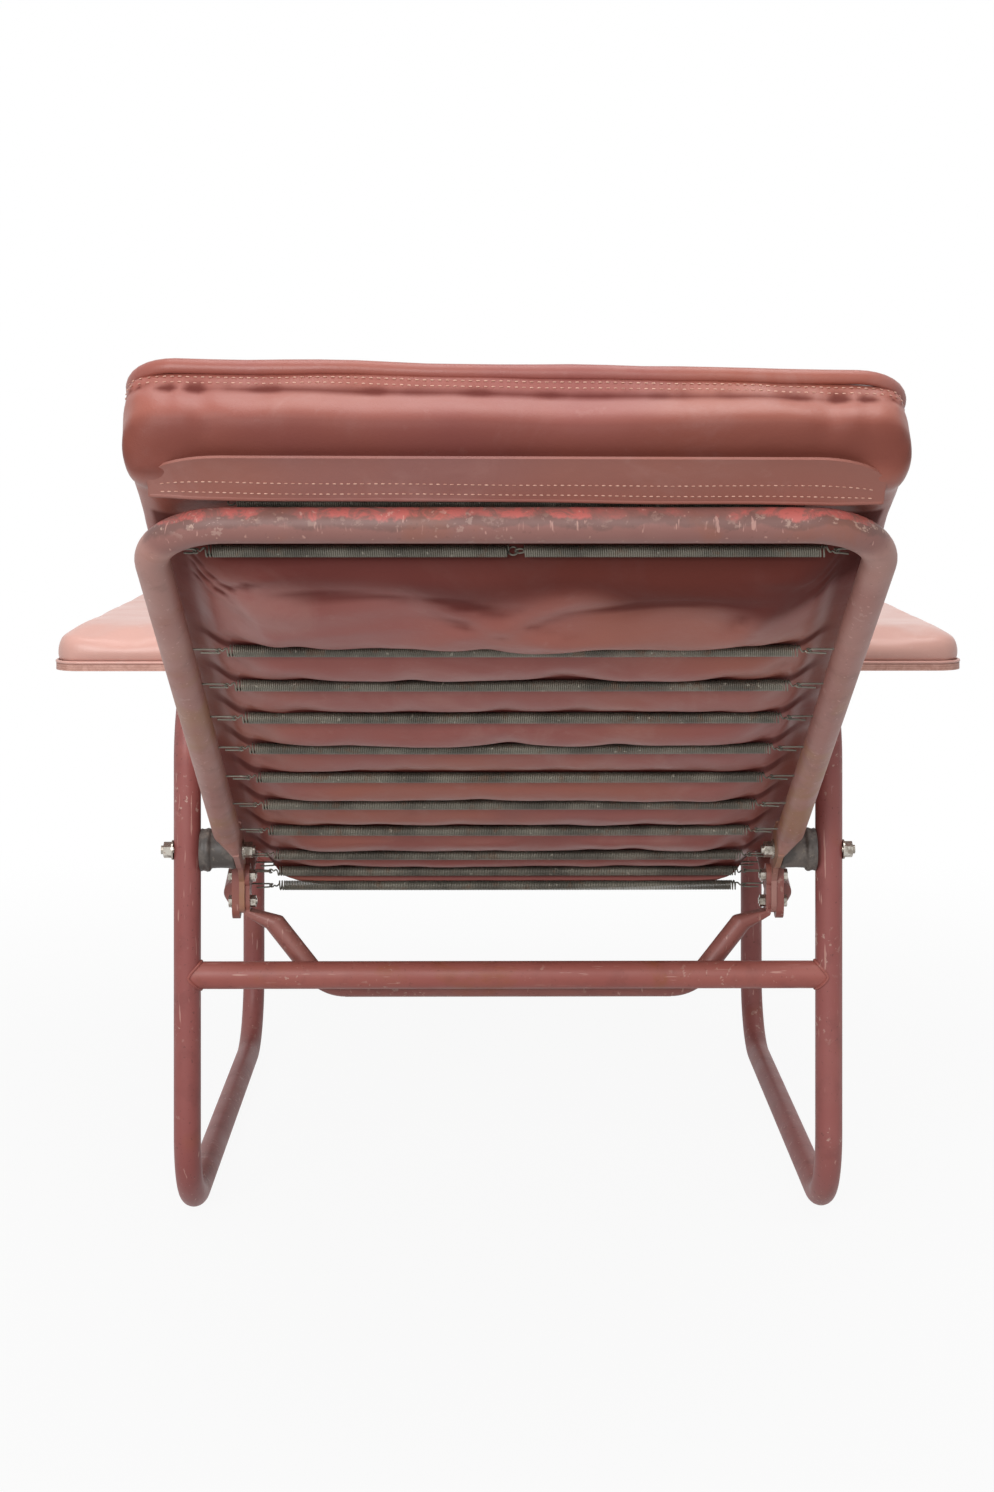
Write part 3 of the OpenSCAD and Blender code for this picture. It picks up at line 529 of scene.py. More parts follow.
@dataclass(frozen=True)
class AgedRubber:
    """Moulded rubber, dry and grey with handling marks."""

    name: str = "bush_rubber_aged"
    base: Colour = shade(74, 68, 64)
    dry: Colour = shade(112, 104, 98)

    def build(self) -> Material:
        """Builds the material.

        Returns:
            The finished material.
        """
        sheet = FinishSheet(self.name)
        dry = sheet.step(sheet.cloud(70.0, 5.0, 0.65), 0.44, 0.66)
        tone = sheet.mix(dry, self.base, self.dry)
        tone = sheet.stain(tone, shade(142, 130, 116), 0.5, (0.60, 0.68), 150.0, 4.0, 0.7)
        rough = sheet.math("ADD", 0.46, sheet.both(dry, 0.25))
        return sheet.finish(tone, rough, sheet.relief(sheet.cloud(320.0, 4.0), 0.25, 0.0006))


@dataclass(frozen=True)
class ZincPlate:
    """Zinc-plated hardware, bright with dull and rusty spots."""

    name: str = "zinc_plate"
    base: Colour = shade(196, 190, 180)

    def build(self) -> Material:
        """Builds the material.

        Returns:
            The finished material.
        """
        sheet = FinishSheet(self.name)
        dull = sheet.step(sheet.cloud(160.0, 4.0, 0.6), 0.42, 0.62)
        tone = sheet.mix(dull, self.base, shade(140, 132, 122))
        tone = sheet.stain(tone, shade(128, 78, 50), 0.6, (0.60, 0.68), 210.0, 4.0, 0.7)
        rough = sheet.math("ADD", 0.26, sheet.both(dull, 0.25))
        return sheet.finish(tone, rough, sheet.relief(sheet.cloud(700.0, 2.0), 0.15, 0.0003), 0.85)


@dataclass(frozen=True)
class PaintedPly:
    """Thin plywood under the armrest, painted pale on its edge, with its plies showing."""

    name: str = "painted_ply"

    def build(self) -> Material:
        """Builds the material.

        Returns:
            The finished material.
        """
        sheet = FinishSheet(self.name)
        grain = sheet.cloud(6.0, 6.0, 0.65, where=sheet.stretched((22.0, 1.6, 22.0)), distortion=1.2)
        tone = sheet.mix(sheet.step(grain, 0.34, 0.66), shade(206, 160, 146), shade(184, 136, 122))
        plies = sheet.put("ShaderNodeTexWave", "Fac", {
            "Vector": sheet.spot, "Scale": 160.0, "Distortion": 1.5}, bands_direction="Z")
        edge = sheet.step(sheet.math("ABSOLUTE", sheet.facing(Z_AXIS)), 0.6, 0.2)
        layers = sheet.both(edge, sheet.step(plies, 0.6, 0.9), 0.4)
        tone = sheet.mix(layers, tone, shade(150, 100, 86))
        return sheet.finish(tone, 0.52, sheet.relief(grain, 0.2, 0.0005))


@dataclass(frozen=True)
class Thread:
    """Pale sewing thread with its twist."""

    name: str = "sewing_thread"
    base: Colour = shade(214, 170, 152)

    def build(self) -> Material:
        """Builds the material.

        Returns:
            The finished material.
        """
        sheet = FinishSheet(self.name)
        tone = sheet.mix(sheet.step(sheet.cloud(300.0, 2.0), 0.4, 0.6), self.base, shade(186, 136, 120))
        return sheet.finish(tone, 0.7, sheet.relief(sheet.cloud(2600.0, 1.0), 0.3, 0.0003))


# ---------------------------------------------------------------- making pieces


def linked(name: str, data: bpy.types.ID) -> Piece:
    """Makes an object of some data and links it to the scene."""
    made = bpy.data.objects.new(name, data)
    bpy.context.scene.collection.objects.link(made)
    return made


def mesh_of(name: str, shape: BMesh) -> bpy.types.Mesh:
    """Turns a shape into a mesh and frees it.

    Args:
        name: The mesh's name.
        shape: The shape.

    Returns:
        The mesh.
    """
    mesh = bpy.data.meshes.new(name)
    shape.to_mesh(mesh)
    shape.free()
    return mesh


def publish(name: str, shape: BMesh, place: Matrix, material: Material,
            body: Body, nodes: Iterable[str] = (), sharp: float = 40.0) -> Piece:
    """Turns a shape into a finished piece of the chair.

    Args:
        name: The piece's name.
        shape: Its bmesh, which is freed.
        place: Matrix that brings it to its place in metres.
        material: Its finish.
        body: The body that it rides on.
        nodes: CAD nodes that it stands for.
        sharp: Edges that turn more than this many degrees stay crisp.

    Returns:
        The new object, at the origin, with its place in its mesh.
    """
    bmesh.ops.transform(shape, matrix=place, verts=shape.verts)
    bmesh.ops.recalc_face_normals(shape, faces=shape.faces)
    limit = math.radians(sharp)
    for face in shape.faces:
        face.smooth = True
    for edge in shape.edges:
        edge.smooth = len(edge.link_faces) != 2 or edge.calc_face_angle(0.0) < limit
    mesh = mesh_of(name, shape)
    mesh.materials.append(material)
    return enrol(linked(name, mesh), body, nodes)


def enrol(piece: Piece, body: Body, nodes: Iterable[str] = ()) -> Piece:
    """Ties a piece to its body and the CAD nodes that it stands for.

    Args:
        piece: The object.
        body: The body that it rides on.
        nodes: CAD nodes that it stands for.

    Returns:
        The same object.
    """
    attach(piece, body.value)
    names = tuple(nodes)
    if names:
        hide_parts(*names)
    LOG.info("%s: %d faces on %s, for %s", piece.name, len(piece.data.polygons), body.value,
             ", ".join(names) or "detail")
    return piece


def skinned(piece: Piece, material: Material, body: Body,
            node: str) -> None:
    """Gives a padded cover its finish and smooth skin, and enrols it.

    Args:
        piece: The cover, in its place.
        material: Its finish.
        body: The body that it rides on.
        node: The CAD node that it stands for.
    """
    piece.data.materials.clear()
    piece.data.materials.append(material)
    skin = piece.modifiers.new("skin", "SUBSURF")
    skin.levels = skin.render_levels = 1
    enrol(piece, body, [node])


def reshaped(piece: Piece, change: Callable[[Vector], Vector]) -> None:
    """Moves every vertex by a rule that works in millimetres."""
    for vert in piece.data.vertices:
        vert.co = change(vert.co * TO_MM) * MM


def evened(piece: Piece, passes: int) -> None:
    """Smooths the voxel steps out of a cover.

    Args:
        piece: The cover.
        passes: How often it is smoothed.
    """
    shape = bmesh.new()
    shape.from_mesh(piece.data)
    for _ in range(passes):
        smooth(shape, 0.5)
    for face in shape.faces:
        face.smooth = True
    shape.to_mesh(piece.data)
    shape.free()


class Sewing:
    """Stitches collected one by one and then sewn into one shape."""

    def __init__(self, half: Vector = Vector((1.5, 0.5, 0.5)), batch: int = 24) -> None:
        """Starts with no stitch.

        Args:
            half: Half size of a stitch in millimetres: along, out and across.
            batch: Stitches that are made together.
        """
        self.half = half
        self.batch = batch
        self.places: list[Matrix] = []

    def stitch(self, centre: Vector, way: Vector, out: Vector) -> None:
        """Notes one stitch.

        Args:
            centre: Its middle.
            way: Direction of its row.
            out: Direction out of the cloth.
        """
        way, out = way.normalized(), out.normalized()
        turn = Matrix((way, out, way.cross(out))).transposed().to_4x4()
        self.places.append(Matrix.Translation(centre) @ turn @ Matrix.Diagonal((*self.half, 1)))

    def sew(self) -> BMesh:
        """Makes all the stitches.

        Returns:
            One shape that holds them.
        """
        total = bmesh.new()
        store = bpy.data.meshes.new("stitch_batch")
        for start in range(0, len(self.places), self.batch):
            part = bmesh.new()
            for place in self.places[start:start + self.batch]:
                bmesh.ops.create_uvsphere(part, u_segments=6, v_segments=4, radius=1.0, matrix=place)
            part.to_mesh(store)
            part.free()
            total.from_mesh(store)
        bpy.data.meshes.remove(store)
        return total


def of_kind(items: Iterable[BMVert | BMEdge], kind: type) -> list:
    """The elements of one kind."""
    return [item for item in items if isinstance(item, kind)]


class WireRun:
    """A round wire drawn step by step: its open end is pushed, turned and coiled."""

    def __init__(self, shape: BMesh, start: Vector, heading: Vector, radius: float,
                 sides: int = 8) -> None:
        """Starts the wire with one ring.

        Args:
            shape: The bmesh that it is drawn in.
            start: Centre of the first ring.
            heading: Direction of the wire there.
            radius: The wire's radius.
            sides: Sides of the ring.
        """
        self.shape = shape
        self.at = start.copy()
        self.heading = heading.normalized()
        turn = Z_AXIS.rotation_difference(self.heading).to_matrix().to_4x4()
        ring = bmesh.ops.create_circle(shape, cap_ends=False, radius=radius, segments=sides,
                                       matrix=Matrix.Translation(start) @ turn)
        self.verts = list(ring["verts"])
        self.edges = list({edge for vert in self.verts for edge in vert.link_edges})

    def cap(self) -> "WireRun":
        """Closes the open end."""
        bmesh.ops.edgeloop_fill(self.shape, edges=self.edges)
        return self

    def to(self, point: Vector, heading: Vector | None = None) -> "WireRun":
        """Pushes the end on to a point.

        Args:
            point: The next centre.
            heading: The wire's direction there, or the way to the point.

        Returns:
            This wire.
        """
        way = point - self.at
        heading = (heading or way).normalized()
        made = bmesh.ops.extrude_edge_only(self.shape, edges=self.edges)["geom"]
        verts = of_kind(made, BMVert)
        found = set(verts)
        edges = [edge for edge in of_kind(made, BMEdge) if found.issuperset(edge.verts)]
        turn = self.heading.rotation_difference(heading).to_matrix()
        bmesh.ops.rotate(self.shape, verts=verts, cent=self.at, matrix=turn)
        bmesh.ops.translate(self.shape, verts=verts, vec=way)
        self.verts, self.edges, self.at, self.heading = verts, edges, point.copy(), heading
        return self

    def turn(self, centre: Vector, axis: Vector, degrees: float, steps: int,
             climb: Vector = Vector()) -> "WireRun":
        """Carries the end round an axis, climbing as it goes.

        Args:
            centre: A point on the axis.
            axis: The axis's direction.
            degrees: The angle in all.
            steps: The number of rings.
            climb: How far the end climbs in all.

        Returns:
            This wire.
        """
        angle = math.radians(degrees)
        made = bmesh.ops.spin(self.shape, geom=self.verts + self.edges, cent=centre, axis=axis,
                              dvec=climb / steps, angle=angle, steps=steps, use_merge=False,
                              use_normal_flip=False, use_duplicate=False)["geom_last"]
        self.verts, self.edges = of_kind(made, BMVert), of_kind(made, BMEdge)
        spin = Matrix.Rotation(angle, 3, axis)
        self.at = centre + spin @ (self.at - centre) + climb
        self.heading = spin @ self.heading
        return self


def weld(shape: BMesh, reach: float) -> None:
    """Merges the vertices of open rims that lie within a reach."""
    rim = [vert for vert in shape.verts if vert.is_boundary]
    bmesh.ops.remove_doubles(shape, verts=rim, dist=reach)


def smooth(shape: BMesh, factor: float) -> None:
    """Draws every vertex a share of the way to its neighbours."""
    bmesh.ops.smooth_vert(shape, verts=shape.verts, factor=factor, use_axis_x=True, use_axis_y=True,
                          use_axis_z=True)


def turn_over(shape: BMesh, verts: Iterable[BMVert], axis: str, degrees: float = 180.0) -> None:
    """Turns vertices about an axis through the origin."""
    bmesh.ops.rotate(shape, verts=list(verts), cent=Vector(),
                     matrix=Matrix.Rotation(math.radians(degrees), 3, axis))


def corner_path(corners: Sequence[tuple[Vector, float]]) -> list[tuple[Vector, Vector]]:
    """Runs round four rounded corners, from the one at high X and Y to low X.

    Args:
        corners: Centre and radius of each corner.

    Returns:
        Points with their outward directions.
    """
    path: list[tuple[Vector, Vector]] = []
    for turn, (centre, radius) in enumerate(corners):
        for part in range(9):
            angle = math.radians(90 * turn + 90 * part / 8)
            out = Vector((math.cos(angle), math.sin(angle), 0))
            path.append((centre + out * radius, out))
    return path


def wire_loop(path: Sequence[Vector], radius: float, sides: int) -> tuple[BMesh, list[list[BMVert]]]:
    """Draws a wire through a closed path and leaves its last gap open.

    Args:
        path: The wire's centres.
        radius: The wire's radius.
        sides: Sides of its rings.

    Returns:
        The shape and its rings.
    """
    shape = bmesh.new()
    run = WireRun(shape, path[0], path[1] - path[-1], radius, sides)
    rings = [list(run.verts)]
    for index in range(1, len(path)):
        run.to(path[index], path[(index + 1) % len(path)] - path[index - 1])
        rings.append(list(run.verts))
    return shape, rings


def ring_edges(ring: Sequence[BMVert]) -> list[BMEdge]:
    """The edges that run round one ring."""
    found = set(ring)
    return [edge for edge in {edge for vert in ring for edge in vert.link_edges}
            if found.issuperset(edge.verts)]


def close_loop(shape: BMesh, rings: Sequence[Sequence[BMVert]]) -> None:
    """Closes a wire loop between its last ring and its first."""
    bmesh.ops.bridge_loops(shape, edges=ring_edges(rings[-1]) + ring_edges(rings[0]))


@dataclass
class SpringMaker:
    """Close-coiled extension springs, in millimetres along X with the coil centred."""

    wire: float = 0.75
    coil: float = 4.0
    open_len: float = 5.0
    neck: float = 4.0
    clip_r: float = 3.2
    clip_at: float = 12.0
    sides: int = 6
    steps: int = 10
    row_block: int = 35
    half_block: int = 17
    plain_block: int = 32
    coil_join: float = 0.02
    end_join: float = 0.05

    def start_heading(self, pitch: float) -> Vector:
        """Direction of the wire where a whole turn starts."""
        return Vector((pitch / (2 * math.pi * self.coil), 0, 1)).normalized()

    def coils(self, shape: BMesh, low: float, high: float, block: int, doublings: int = 3) -> float:
        """Winds the coil from low to high, open at both ends.

        Args:
            shape: The bmesh.
            low: Where the coil starts.
            high: Where it ends.
            block: Turns that are wound before the coil is doubled.
            doublings: How often it is doubled.

        Returns:
            The coil's pitch.
        """
        pitch = (high - low) / (block * 2 ** doublings)
        first = set(shape.verts)
        start = Vector((low, self.coil, 0))
        run = WireRun(shape, start, self.start_heading(pitch), self.wire, self.sides)
        run.turn(Vector(), X_AXIS, 360 * block, self.steps * block, X_AXIS * (pitch * block))
        for step in range(doublings):
            mine = [vert for vert in shape.verts if vert not in first]
            faces = {face for vert in mine for face in vert.link_faces}
            edges = {edge for vert in mine for edge in vert.link_edges}
            copy = bmesh.ops.duplicate(shape, geom=mine + list(edges) + list(faces))["geom"]
            shift = X_AXIS * (pitch * block * 2 ** step)
            bmesh.ops.translate(shape, verts=of_kind(copy, BMVert), vec=shift)
            weld(shape, self.coil_join)
        return pitch

    def end(self, shape: BMesh, pitch: float, leg: float, tail: float) -> None:
        """Draws a right-hand end, with the coil's end at the origin.

        Args:
            shape: The bmesh.
            pitch: The coil's pitch.
            leg: Where the clip's leg ends in the tube's wall.
            tail: Where the clip's short side ends.
        """
        run = WireRun(shape, Y_AXIS * self.coil, self.start_heading(pitch), self.wire, self.sides)
        run.turn(Vector(), X_AXIS, 720, 24, X_AXIS * self.open_len)
        for part in (0.2, 0.4, 0.6, 0.8, 1.0):
            angle = math.radians(90 * part)
            reach = self.coil * (1 - part)
            point = Vector((self.open_len + self.neck * part, reach * math.cos(angle),
                            reach * math.sin(angle)))
            run.to(point, X_AXIS if part == 1.0 else None)
        eye = self.wire * 2 + 0.2
        run.to(Vector((self.clip_at - 2.2, 0, 0.3)), Vector((1, 0, 0.5)))
        run.to(Vector((self.clip_at - 1.2, 0, eye - 0.3)), Vector((1, 0, 0.7)))
        run.to(Vector((self.clip_at, 0, eye)), X_AXIS)
        run.turn(X_AXIS * self.clip_at, Y_AXIS, 230, 12).cap()
        self.clip(shape, leg, tail)

    def clip(self, shape: BMesh, leg: float, tail: float) -> None:
        """Draws the wire clip that hooks the coil's eye to the tube.

        Args:
            shape: The bmesh.
            leg: Where its leg ends.
            tail: Where its short side ends.
        """
        centre = X_AXIS * (self.clip_at + self.clip_r)
        run = WireRun(shape, Vector((tail, -self.clip_r - 0.5, 0.4)), Vector((-1, 0.1, 0)),
                      self.wire, self.sides).cap()
        run.to(centre + Vector((0.4, -self.clip_r, 0)), -X_AXIS)
        run.to(centre + Vector((0, -self.clip_r, 0)), -X_AXIS)
        run.turn(centre, Z_AXIS, -180, 10)
        run.to(centre + Vector((0.8, self.clip_r, 0)), X_AXIS)
        run.to(Vector((leg, self.clip_r, 0)), X_AXIS).cap()

    def add_end(self, shape: BMesh, at: float, turned: bool, draw: Callable[[], None]) -> None:
        """Adds an end to the coil, on its right or turned onto its left.

        Args:
            shape: The bmesh.
            at: Distance of the coil's end from the middle.
            turned: True for the left end.
            draw: Draws the end at the origin.
        """
        before = set(shape.verts)
        draw()
        mine = [vert for vert in shape.verts if vert not in before]
        bmesh.ops.translate(shape, verts=mine, vec=X_AXIS * at)
        if turned:
            turn_over(shape, mine, "Y")
        weld(shape, self.end_join)

    def row(self, coil_end: float, leg_end: float, tail_end: float) -> BMesh:
        """A whole row spring with a clip at each end.

        Args:
            coil_end: Distance of the coil's ends from the middle.
            leg_end: Distance of the clips' legs' ends from the middle.
            tail_end: Distance of the clips' tails' ends from the middle.

        Returns:
            The spring along X.
        """
        shape = bmesh.new()
        pitch = self.coils(shape, -coil_end, coil_end, self.row_block)
        for turned in (False, True):
            self.add_end(shape, coil_end, turned,
                         lambda: self.end(shape, pitch, leg_end - coil_end, tail_end - coil_end))
        return shape

    def half(self, link_at: float, coil_start: float, coil_end: float, leg_end: float) -> BMesh:
        """The right half of a linked pair, with its ring at the middle.

        Args:
            link_at: Where the ring's centre is.
            coil_start: Where the coil starts.
            coil_end: Where it ends.
            leg_end: Where its clip's leg ends.

        Returns:
            The half spring along X.
        """
        shape = bmesh.new()
        pitch = self.coils(shape, coil_start, coil_end, self.half_block)
        leg = leg_end - coil_end
        self.add_end(shape, coil_end, False, lambda: self.end(shape, pitch, leg, leg - 8.5))
        run = WireRun(shape, Vector((coil_start, self.coil, 0)), -self.start_heading(pitch), self.wire,
                      self.sides)
        run.turn(Vector(), X_AXIS, -60, 3, Vector((-0.3, 0, 0)))
        run.to(Vector((coil_start - 0.5, 1.2, -1.8)))
        run.to(Vector((link_at + self.clip_r, 0.2, -0.3))).cap()
        weld(shape, self.end_join)
        ring = WireRun(shape, X_AXIS * (link_at + self.clip_r), Y_AXIS, self.wire, self.sides)
        ring.turn(X_AXIS * link_at, Z_AXIS, 360, 24)
        weld(shape, self.coil_join)
        return shape

    def eye(self, shape: BMesh, pitch: float) -> None:
        """Draws a plain right-hand eye, with the coil's end at the origin.

        Args:
            shape: The bmesh.
            pitch: The coil's pitch.
        """
        run = WireRun(shape, Y_AXIS * self.coil, self.start_heading(pitch), self.wire, self.sides)
        run.turn(Vector(), X_AXIS, 250, 9, Vector((1.2, 0, 0)))
        run.to(Vector((2.6, -0.6, -3.4)))
        run.to(Vector((5.0, 0.2, -3.2)), X_AXIS)
        run.turn(Vector((5.0, 0.2, -0.7)), Y_AXIS, -250, 12).cap()

    def plain(self, half: float) -> BMesh:
        """A spring that only lies on the bar, with an eye at each end.

        Args:
            half: Distance of the coil's ends from the middle.

        Returns:
            The spring along X.
        """
        shape = bmesh.new()
        pitch = self.coils(shape, -half, half, self.plain_block)
        for turned in (False, True):
            self.add_end(shape, half, turned, lambda: self.eye(shape, pitch))
        return shape


@dataclass
class SpringRows:
    """All the springs that are strung across the lounge frame."""

    material: Material
    maker: SpringMaker = field(default_factory=SpringMaker)
    coil_end: float = 212.5
    leg_end: float = 247.0
    blade_leg_end: float = 249.5
    tail_end: float = 238.5
    first_back: float = -13.95
    back_pitch: float = 64.3
    back_rows: int = 8
    first_seat: float = 38.5
    seat_pitch: float = 62.0
    seat_rows: int = 6
    first_leg: float = 68.2
    leg_pitch: float = 64.0
    leg_rows: int = 5
    head_u: float = 602.0
    head_link: float = 2.4
    head_start: float = 6.1
    head_end: float = 211.57
    head_leg_end: float = 241.0
    top_half: float = 191.0
    top_u: float = 640.0
    top_n: float = 17.55
    hip_rear: Vector = field(default_factory=lambda: Vector((0, 50, PIVOT_Z - 29.5)))
    hip_front: float = -3.0
    in_blades: tuple[str, ...] = ("back_spring_1", "hip_spring_rear")
    flip: Matrix = field(default_factory=lambda: Matrix.Rotation(math.pi, 4, "X"))

    def build(self) -> None:
        """Makes every spring."""
        plain = self.maker.row(self.coil_end, self.leg_end, self.tail_end)
        wide = self.maker.row(self.coil_end, self.blade_leg_end, self.tail_end)
        for count, (node, place) in enumerate(self.places()):
            self.string(node, wide if node in self.in_blades else plain, place, count)
        plain.free()
        wide.free()
        self.head_pair(PLANES.back())
        self.top(PLANES.back())

    @classmethod
    def back_lines(cls) -> list[float]:
        """Where the back's rows cross its plane, in millimetres along it."""
        return [-(cls.first_back + row * cls.back_pitch) for row in range(cls.back_rows)]

    @classmethod
    def seat_lines(cls) -> list[float]:
        """Where the seat's rows cross its plane."""
        return [cls.first_seat + row * cls.seat_pitch for row in range(cls.seat_rows)]

    @classmethod
    def leg_lines(cls) -> list[float]:
        """Where the leg rest's rows cross its plane."""
        return [cls.first_leg + row * cls.leg_pitch for row in range(cls.leg_rows)]

    def places(self) -> list[tuple[str, Matrix]]:
        """Where the row springs lie.

        Returns:
            Each CAD node with the matrix to its place.
        """
        def rows(part: str, plane: Plane, lines: Sequence[float]) -> list[tuple[str, Matrix]]:
            """The rows of one plane, each at its distance along it."""
            return [(f"{part}_spring_{number}", plane.drawn() @ Matrix.Translation((0, y, 0)))
                    for number, y in enumerate(lines, 1)]

        hip = PLANES.chair().drawn() @ Matrix.Translation(self.hip_rear)
        turned = rows("back", PLANES.back(), self.back_lines()) + [("hip_spring_rear", hip)]
        front = PLANES.seat().drawn() @ Matrix.Translation((0, self.hip_front, 0))
        return [(node, place @ self.flip) for node, place in turned] + [("hip_spring_front", front)] \
            + rows("seat", PLANES.seat(), self.seat_lines()) + rows("leg", PLANES.leg(), self.leg_lines())

    def hang(self, node: str, shape: BMesh, place: Matrix) -> None:
        """Publishes the wire that stands for a spring of the CAD."""
        publish(f"{node}_wire", shape, place, self.material, Body.LOUNGE, [node], 80)

    def string(self, node: str, pattern: BMesh, place: Matrix, count: int) -> None:
        """Hangs a copy of a row spring in its place, each with its own slight sag.

        Args:
            node: The CAD node that it stands for.
            pattern: The spring along X.
            place: Matrix to its place.
            count: Its number, for the sag.
        """
        shape = pattern.copy()
        sag = 0.5 + 0.35 * math.sin(count * 2.1)
        for vert in shape.verts:
            middle = 1 - (vert.co.x / self.coil_end) ** 2
            if middle > 0:
                vert.co.z += (sag if place.to_3x3().col[2].z < 0 else -sag) * middle * 0.5
        self.hang(node, shape, place)

    def head_pair(self, back: Plane) -> None:
        """The two half springs, linked ring through ring.

        Args:
            back: The back's plane.
        """
        place = back.drawn() @ Matrix.Translation((0, -self.head_u, 0))
        for side in Side:
            shape = self.maker.half(self.head_link, self.head_start, self.head_end, self.head_leg_end)
            if side is Side.LEFT:
                ring = [vert for vert in shape.verts if vert.co.x < self.head_start + 0.5]
                turn_over(shape, ring, "X", 90)
                turn_over(shape, shape.verts, "Y")
            turn_over(shape, shape.verts, "X")
            self.hang(f"head_spring_{side.name.lower()}", shape, place)

    def top(self, back: Plane) -> None:
        """The plain spring along the top bar."""
        self.hang("top_spring", self.maker.plain(self.top_half),
                  back.drawn() @ Matrix.Translation((0, -self.top_u, self.top_n)))


# ---------------------------------------------------------------- cushions


def node_copy(node: str, plane: Plane) -> BMesh:
    """Copies a CAD node's mesh into a plane's own metres, with its doubles merged.

    Args:
        node: The CAD node.
        plane: The plane that it lies on.

    Returns:
        The bmesh.
    """
    shape = bmesh.new()
    shape.from_mesh(frame["nodes"][node].data)
    bmesh.ops.remove_doubles(shape, verts=shape.verts, dist=1e-5)
    bmesh.ops.transform(shape, matrix=plane.metric().inverted(), verts=shape.verts)
    return shape


def remeshed(name: str, shape: BMesh, voxel: float) -> Piece:
    """Gives a closed shape an even skin of small quads.

    Args:
        name: The new object's name.
        shape: The shape, which is freed.
        voxel: Size of the quads in metres.

    Returns:
        The new object.
    """
    piece = linked(name, mesh_of(name, shape))
    modifier = piece.modifiers.new("even", "REMESH")
    modifier.mode = "VOXEL"
    modifier.voxel_size = voxel
    graph = bpy.context.evaluated_depsgraph_get()
    fresh = bpy.data.meshes.new_from_object(piece.evaluated_get(graph))
    piece.modifiers.clear()
    piece.data = fresh
    fresh.name = name
    return piece


@dataclass(frozen=True)
class Swell:
    """How a cushion swells as cloth round its filling."""

    pressure: float = 4.0
    stiffness: float = 12.0
    bending: float = 0.6
    growth: float = 0.02
    frames: int = 20

    def run(self, piece: Piece, held: Callable[[Vector, Vector], float],
            cap: Callable[[Vector, Vector], float]) -> None:
        """Simulates the cover and keeps the result in the mesh.

        Args:
            piece: The cushion.
            held: How firmly a point with its normal is held, from 0 to 1.
            cap: How far it may move, in metres.
        """
        mesh = piece.data
        group = piece.vertex_groups.new(name="held")
        rest = [vert.co.copy() for vert in mesh.vertices]
        normals = [vert.normal.copy() for vert in mesh.vertices]
        for index, (point, normal) in enumerate(zip(rest, normals)):
            group.add([index], held(point, normal), "REPLACE")
        modifier = piece.modifiers.new("swell", "CLOTH")
        cloth = modifier.settings
        cloth.quality = 4
        cloth.mass = 0.3
        cloth.air_damping = 4.0
        cloth.tension_stiffness = cloth.compression_stiffness = self.stiffness
        cloth.shear_stiffness = self.stiffness * 0.4
        cloth.bending_stiffness = self.bending
        cloth.use_pressure = True
        cloth.uniform_pressure_force = self.pressure
        cloth.shrink_min = -self.growth
        cloth.vertex_group_mass = "held"
        cloth.effector_weights.gravity = 0.0
        modifier.point_cache.frame_start = 1
        modifier.point_cache.frame_end = self.frames
        scene = bpy.context.scene
        for number in range(1, self.frames + 1):
            scene.frame_set(number)
        graph = bpy.context.evaluated_depsgraph_get()
        swollen = [vert.co.copy() for vert in piece.evaluated_get(graph).data.vertices]
        piece.modifiers.remove(modifier)
        scene.frame_set(1)
        for index, (point, moved) in enumerate(zip(rest, swollen)):
            way = moved - point
            reach = cap(point, normals[index])
            if way.length > reach:
                way = way.normalized() * reach
            mesh.vertices[index].co = point + way
        piece.vertex_groups.clear()


@dataclass(frozen=True)
class Fold:
    """A straight fold in a cushion's underside, a ridge or with a depth below 0 a valley."""

    x: float
    y: float
    angle: float
    length: float
    width: float
    depth: float

    def rise(self, point: Vector) -> float:
        """How far the fold lifts the cover out.

        Args:
            point: A point in millimetres.

        Returns:
            The lift there in millimetres.
        """
        turn = math.radians(self.angle)
        dx, dy = point.x - self.x, point.y - self.y
        along = dx * math.cos(turn) + dy * math.sin(turn)
        across = dy * math.cos(turn) - dx * math.sin(turn)
        fade = ease(self.length, self.length * 0.3, abs(along))
        return self.depth * hump(across, 0.0, self.width) * fade


@dataclass(frozen=True)
class HipSag:
    """How a cushion's underside fills out towards the hip, in millimetres along its plane."""

    start: float
    full: float
    depth: float

    def drop(self, y: float) -> float:
        """How far the underside hangs down at a place along the plane."""
        return self.depth * ease(self.start, self.full, y)


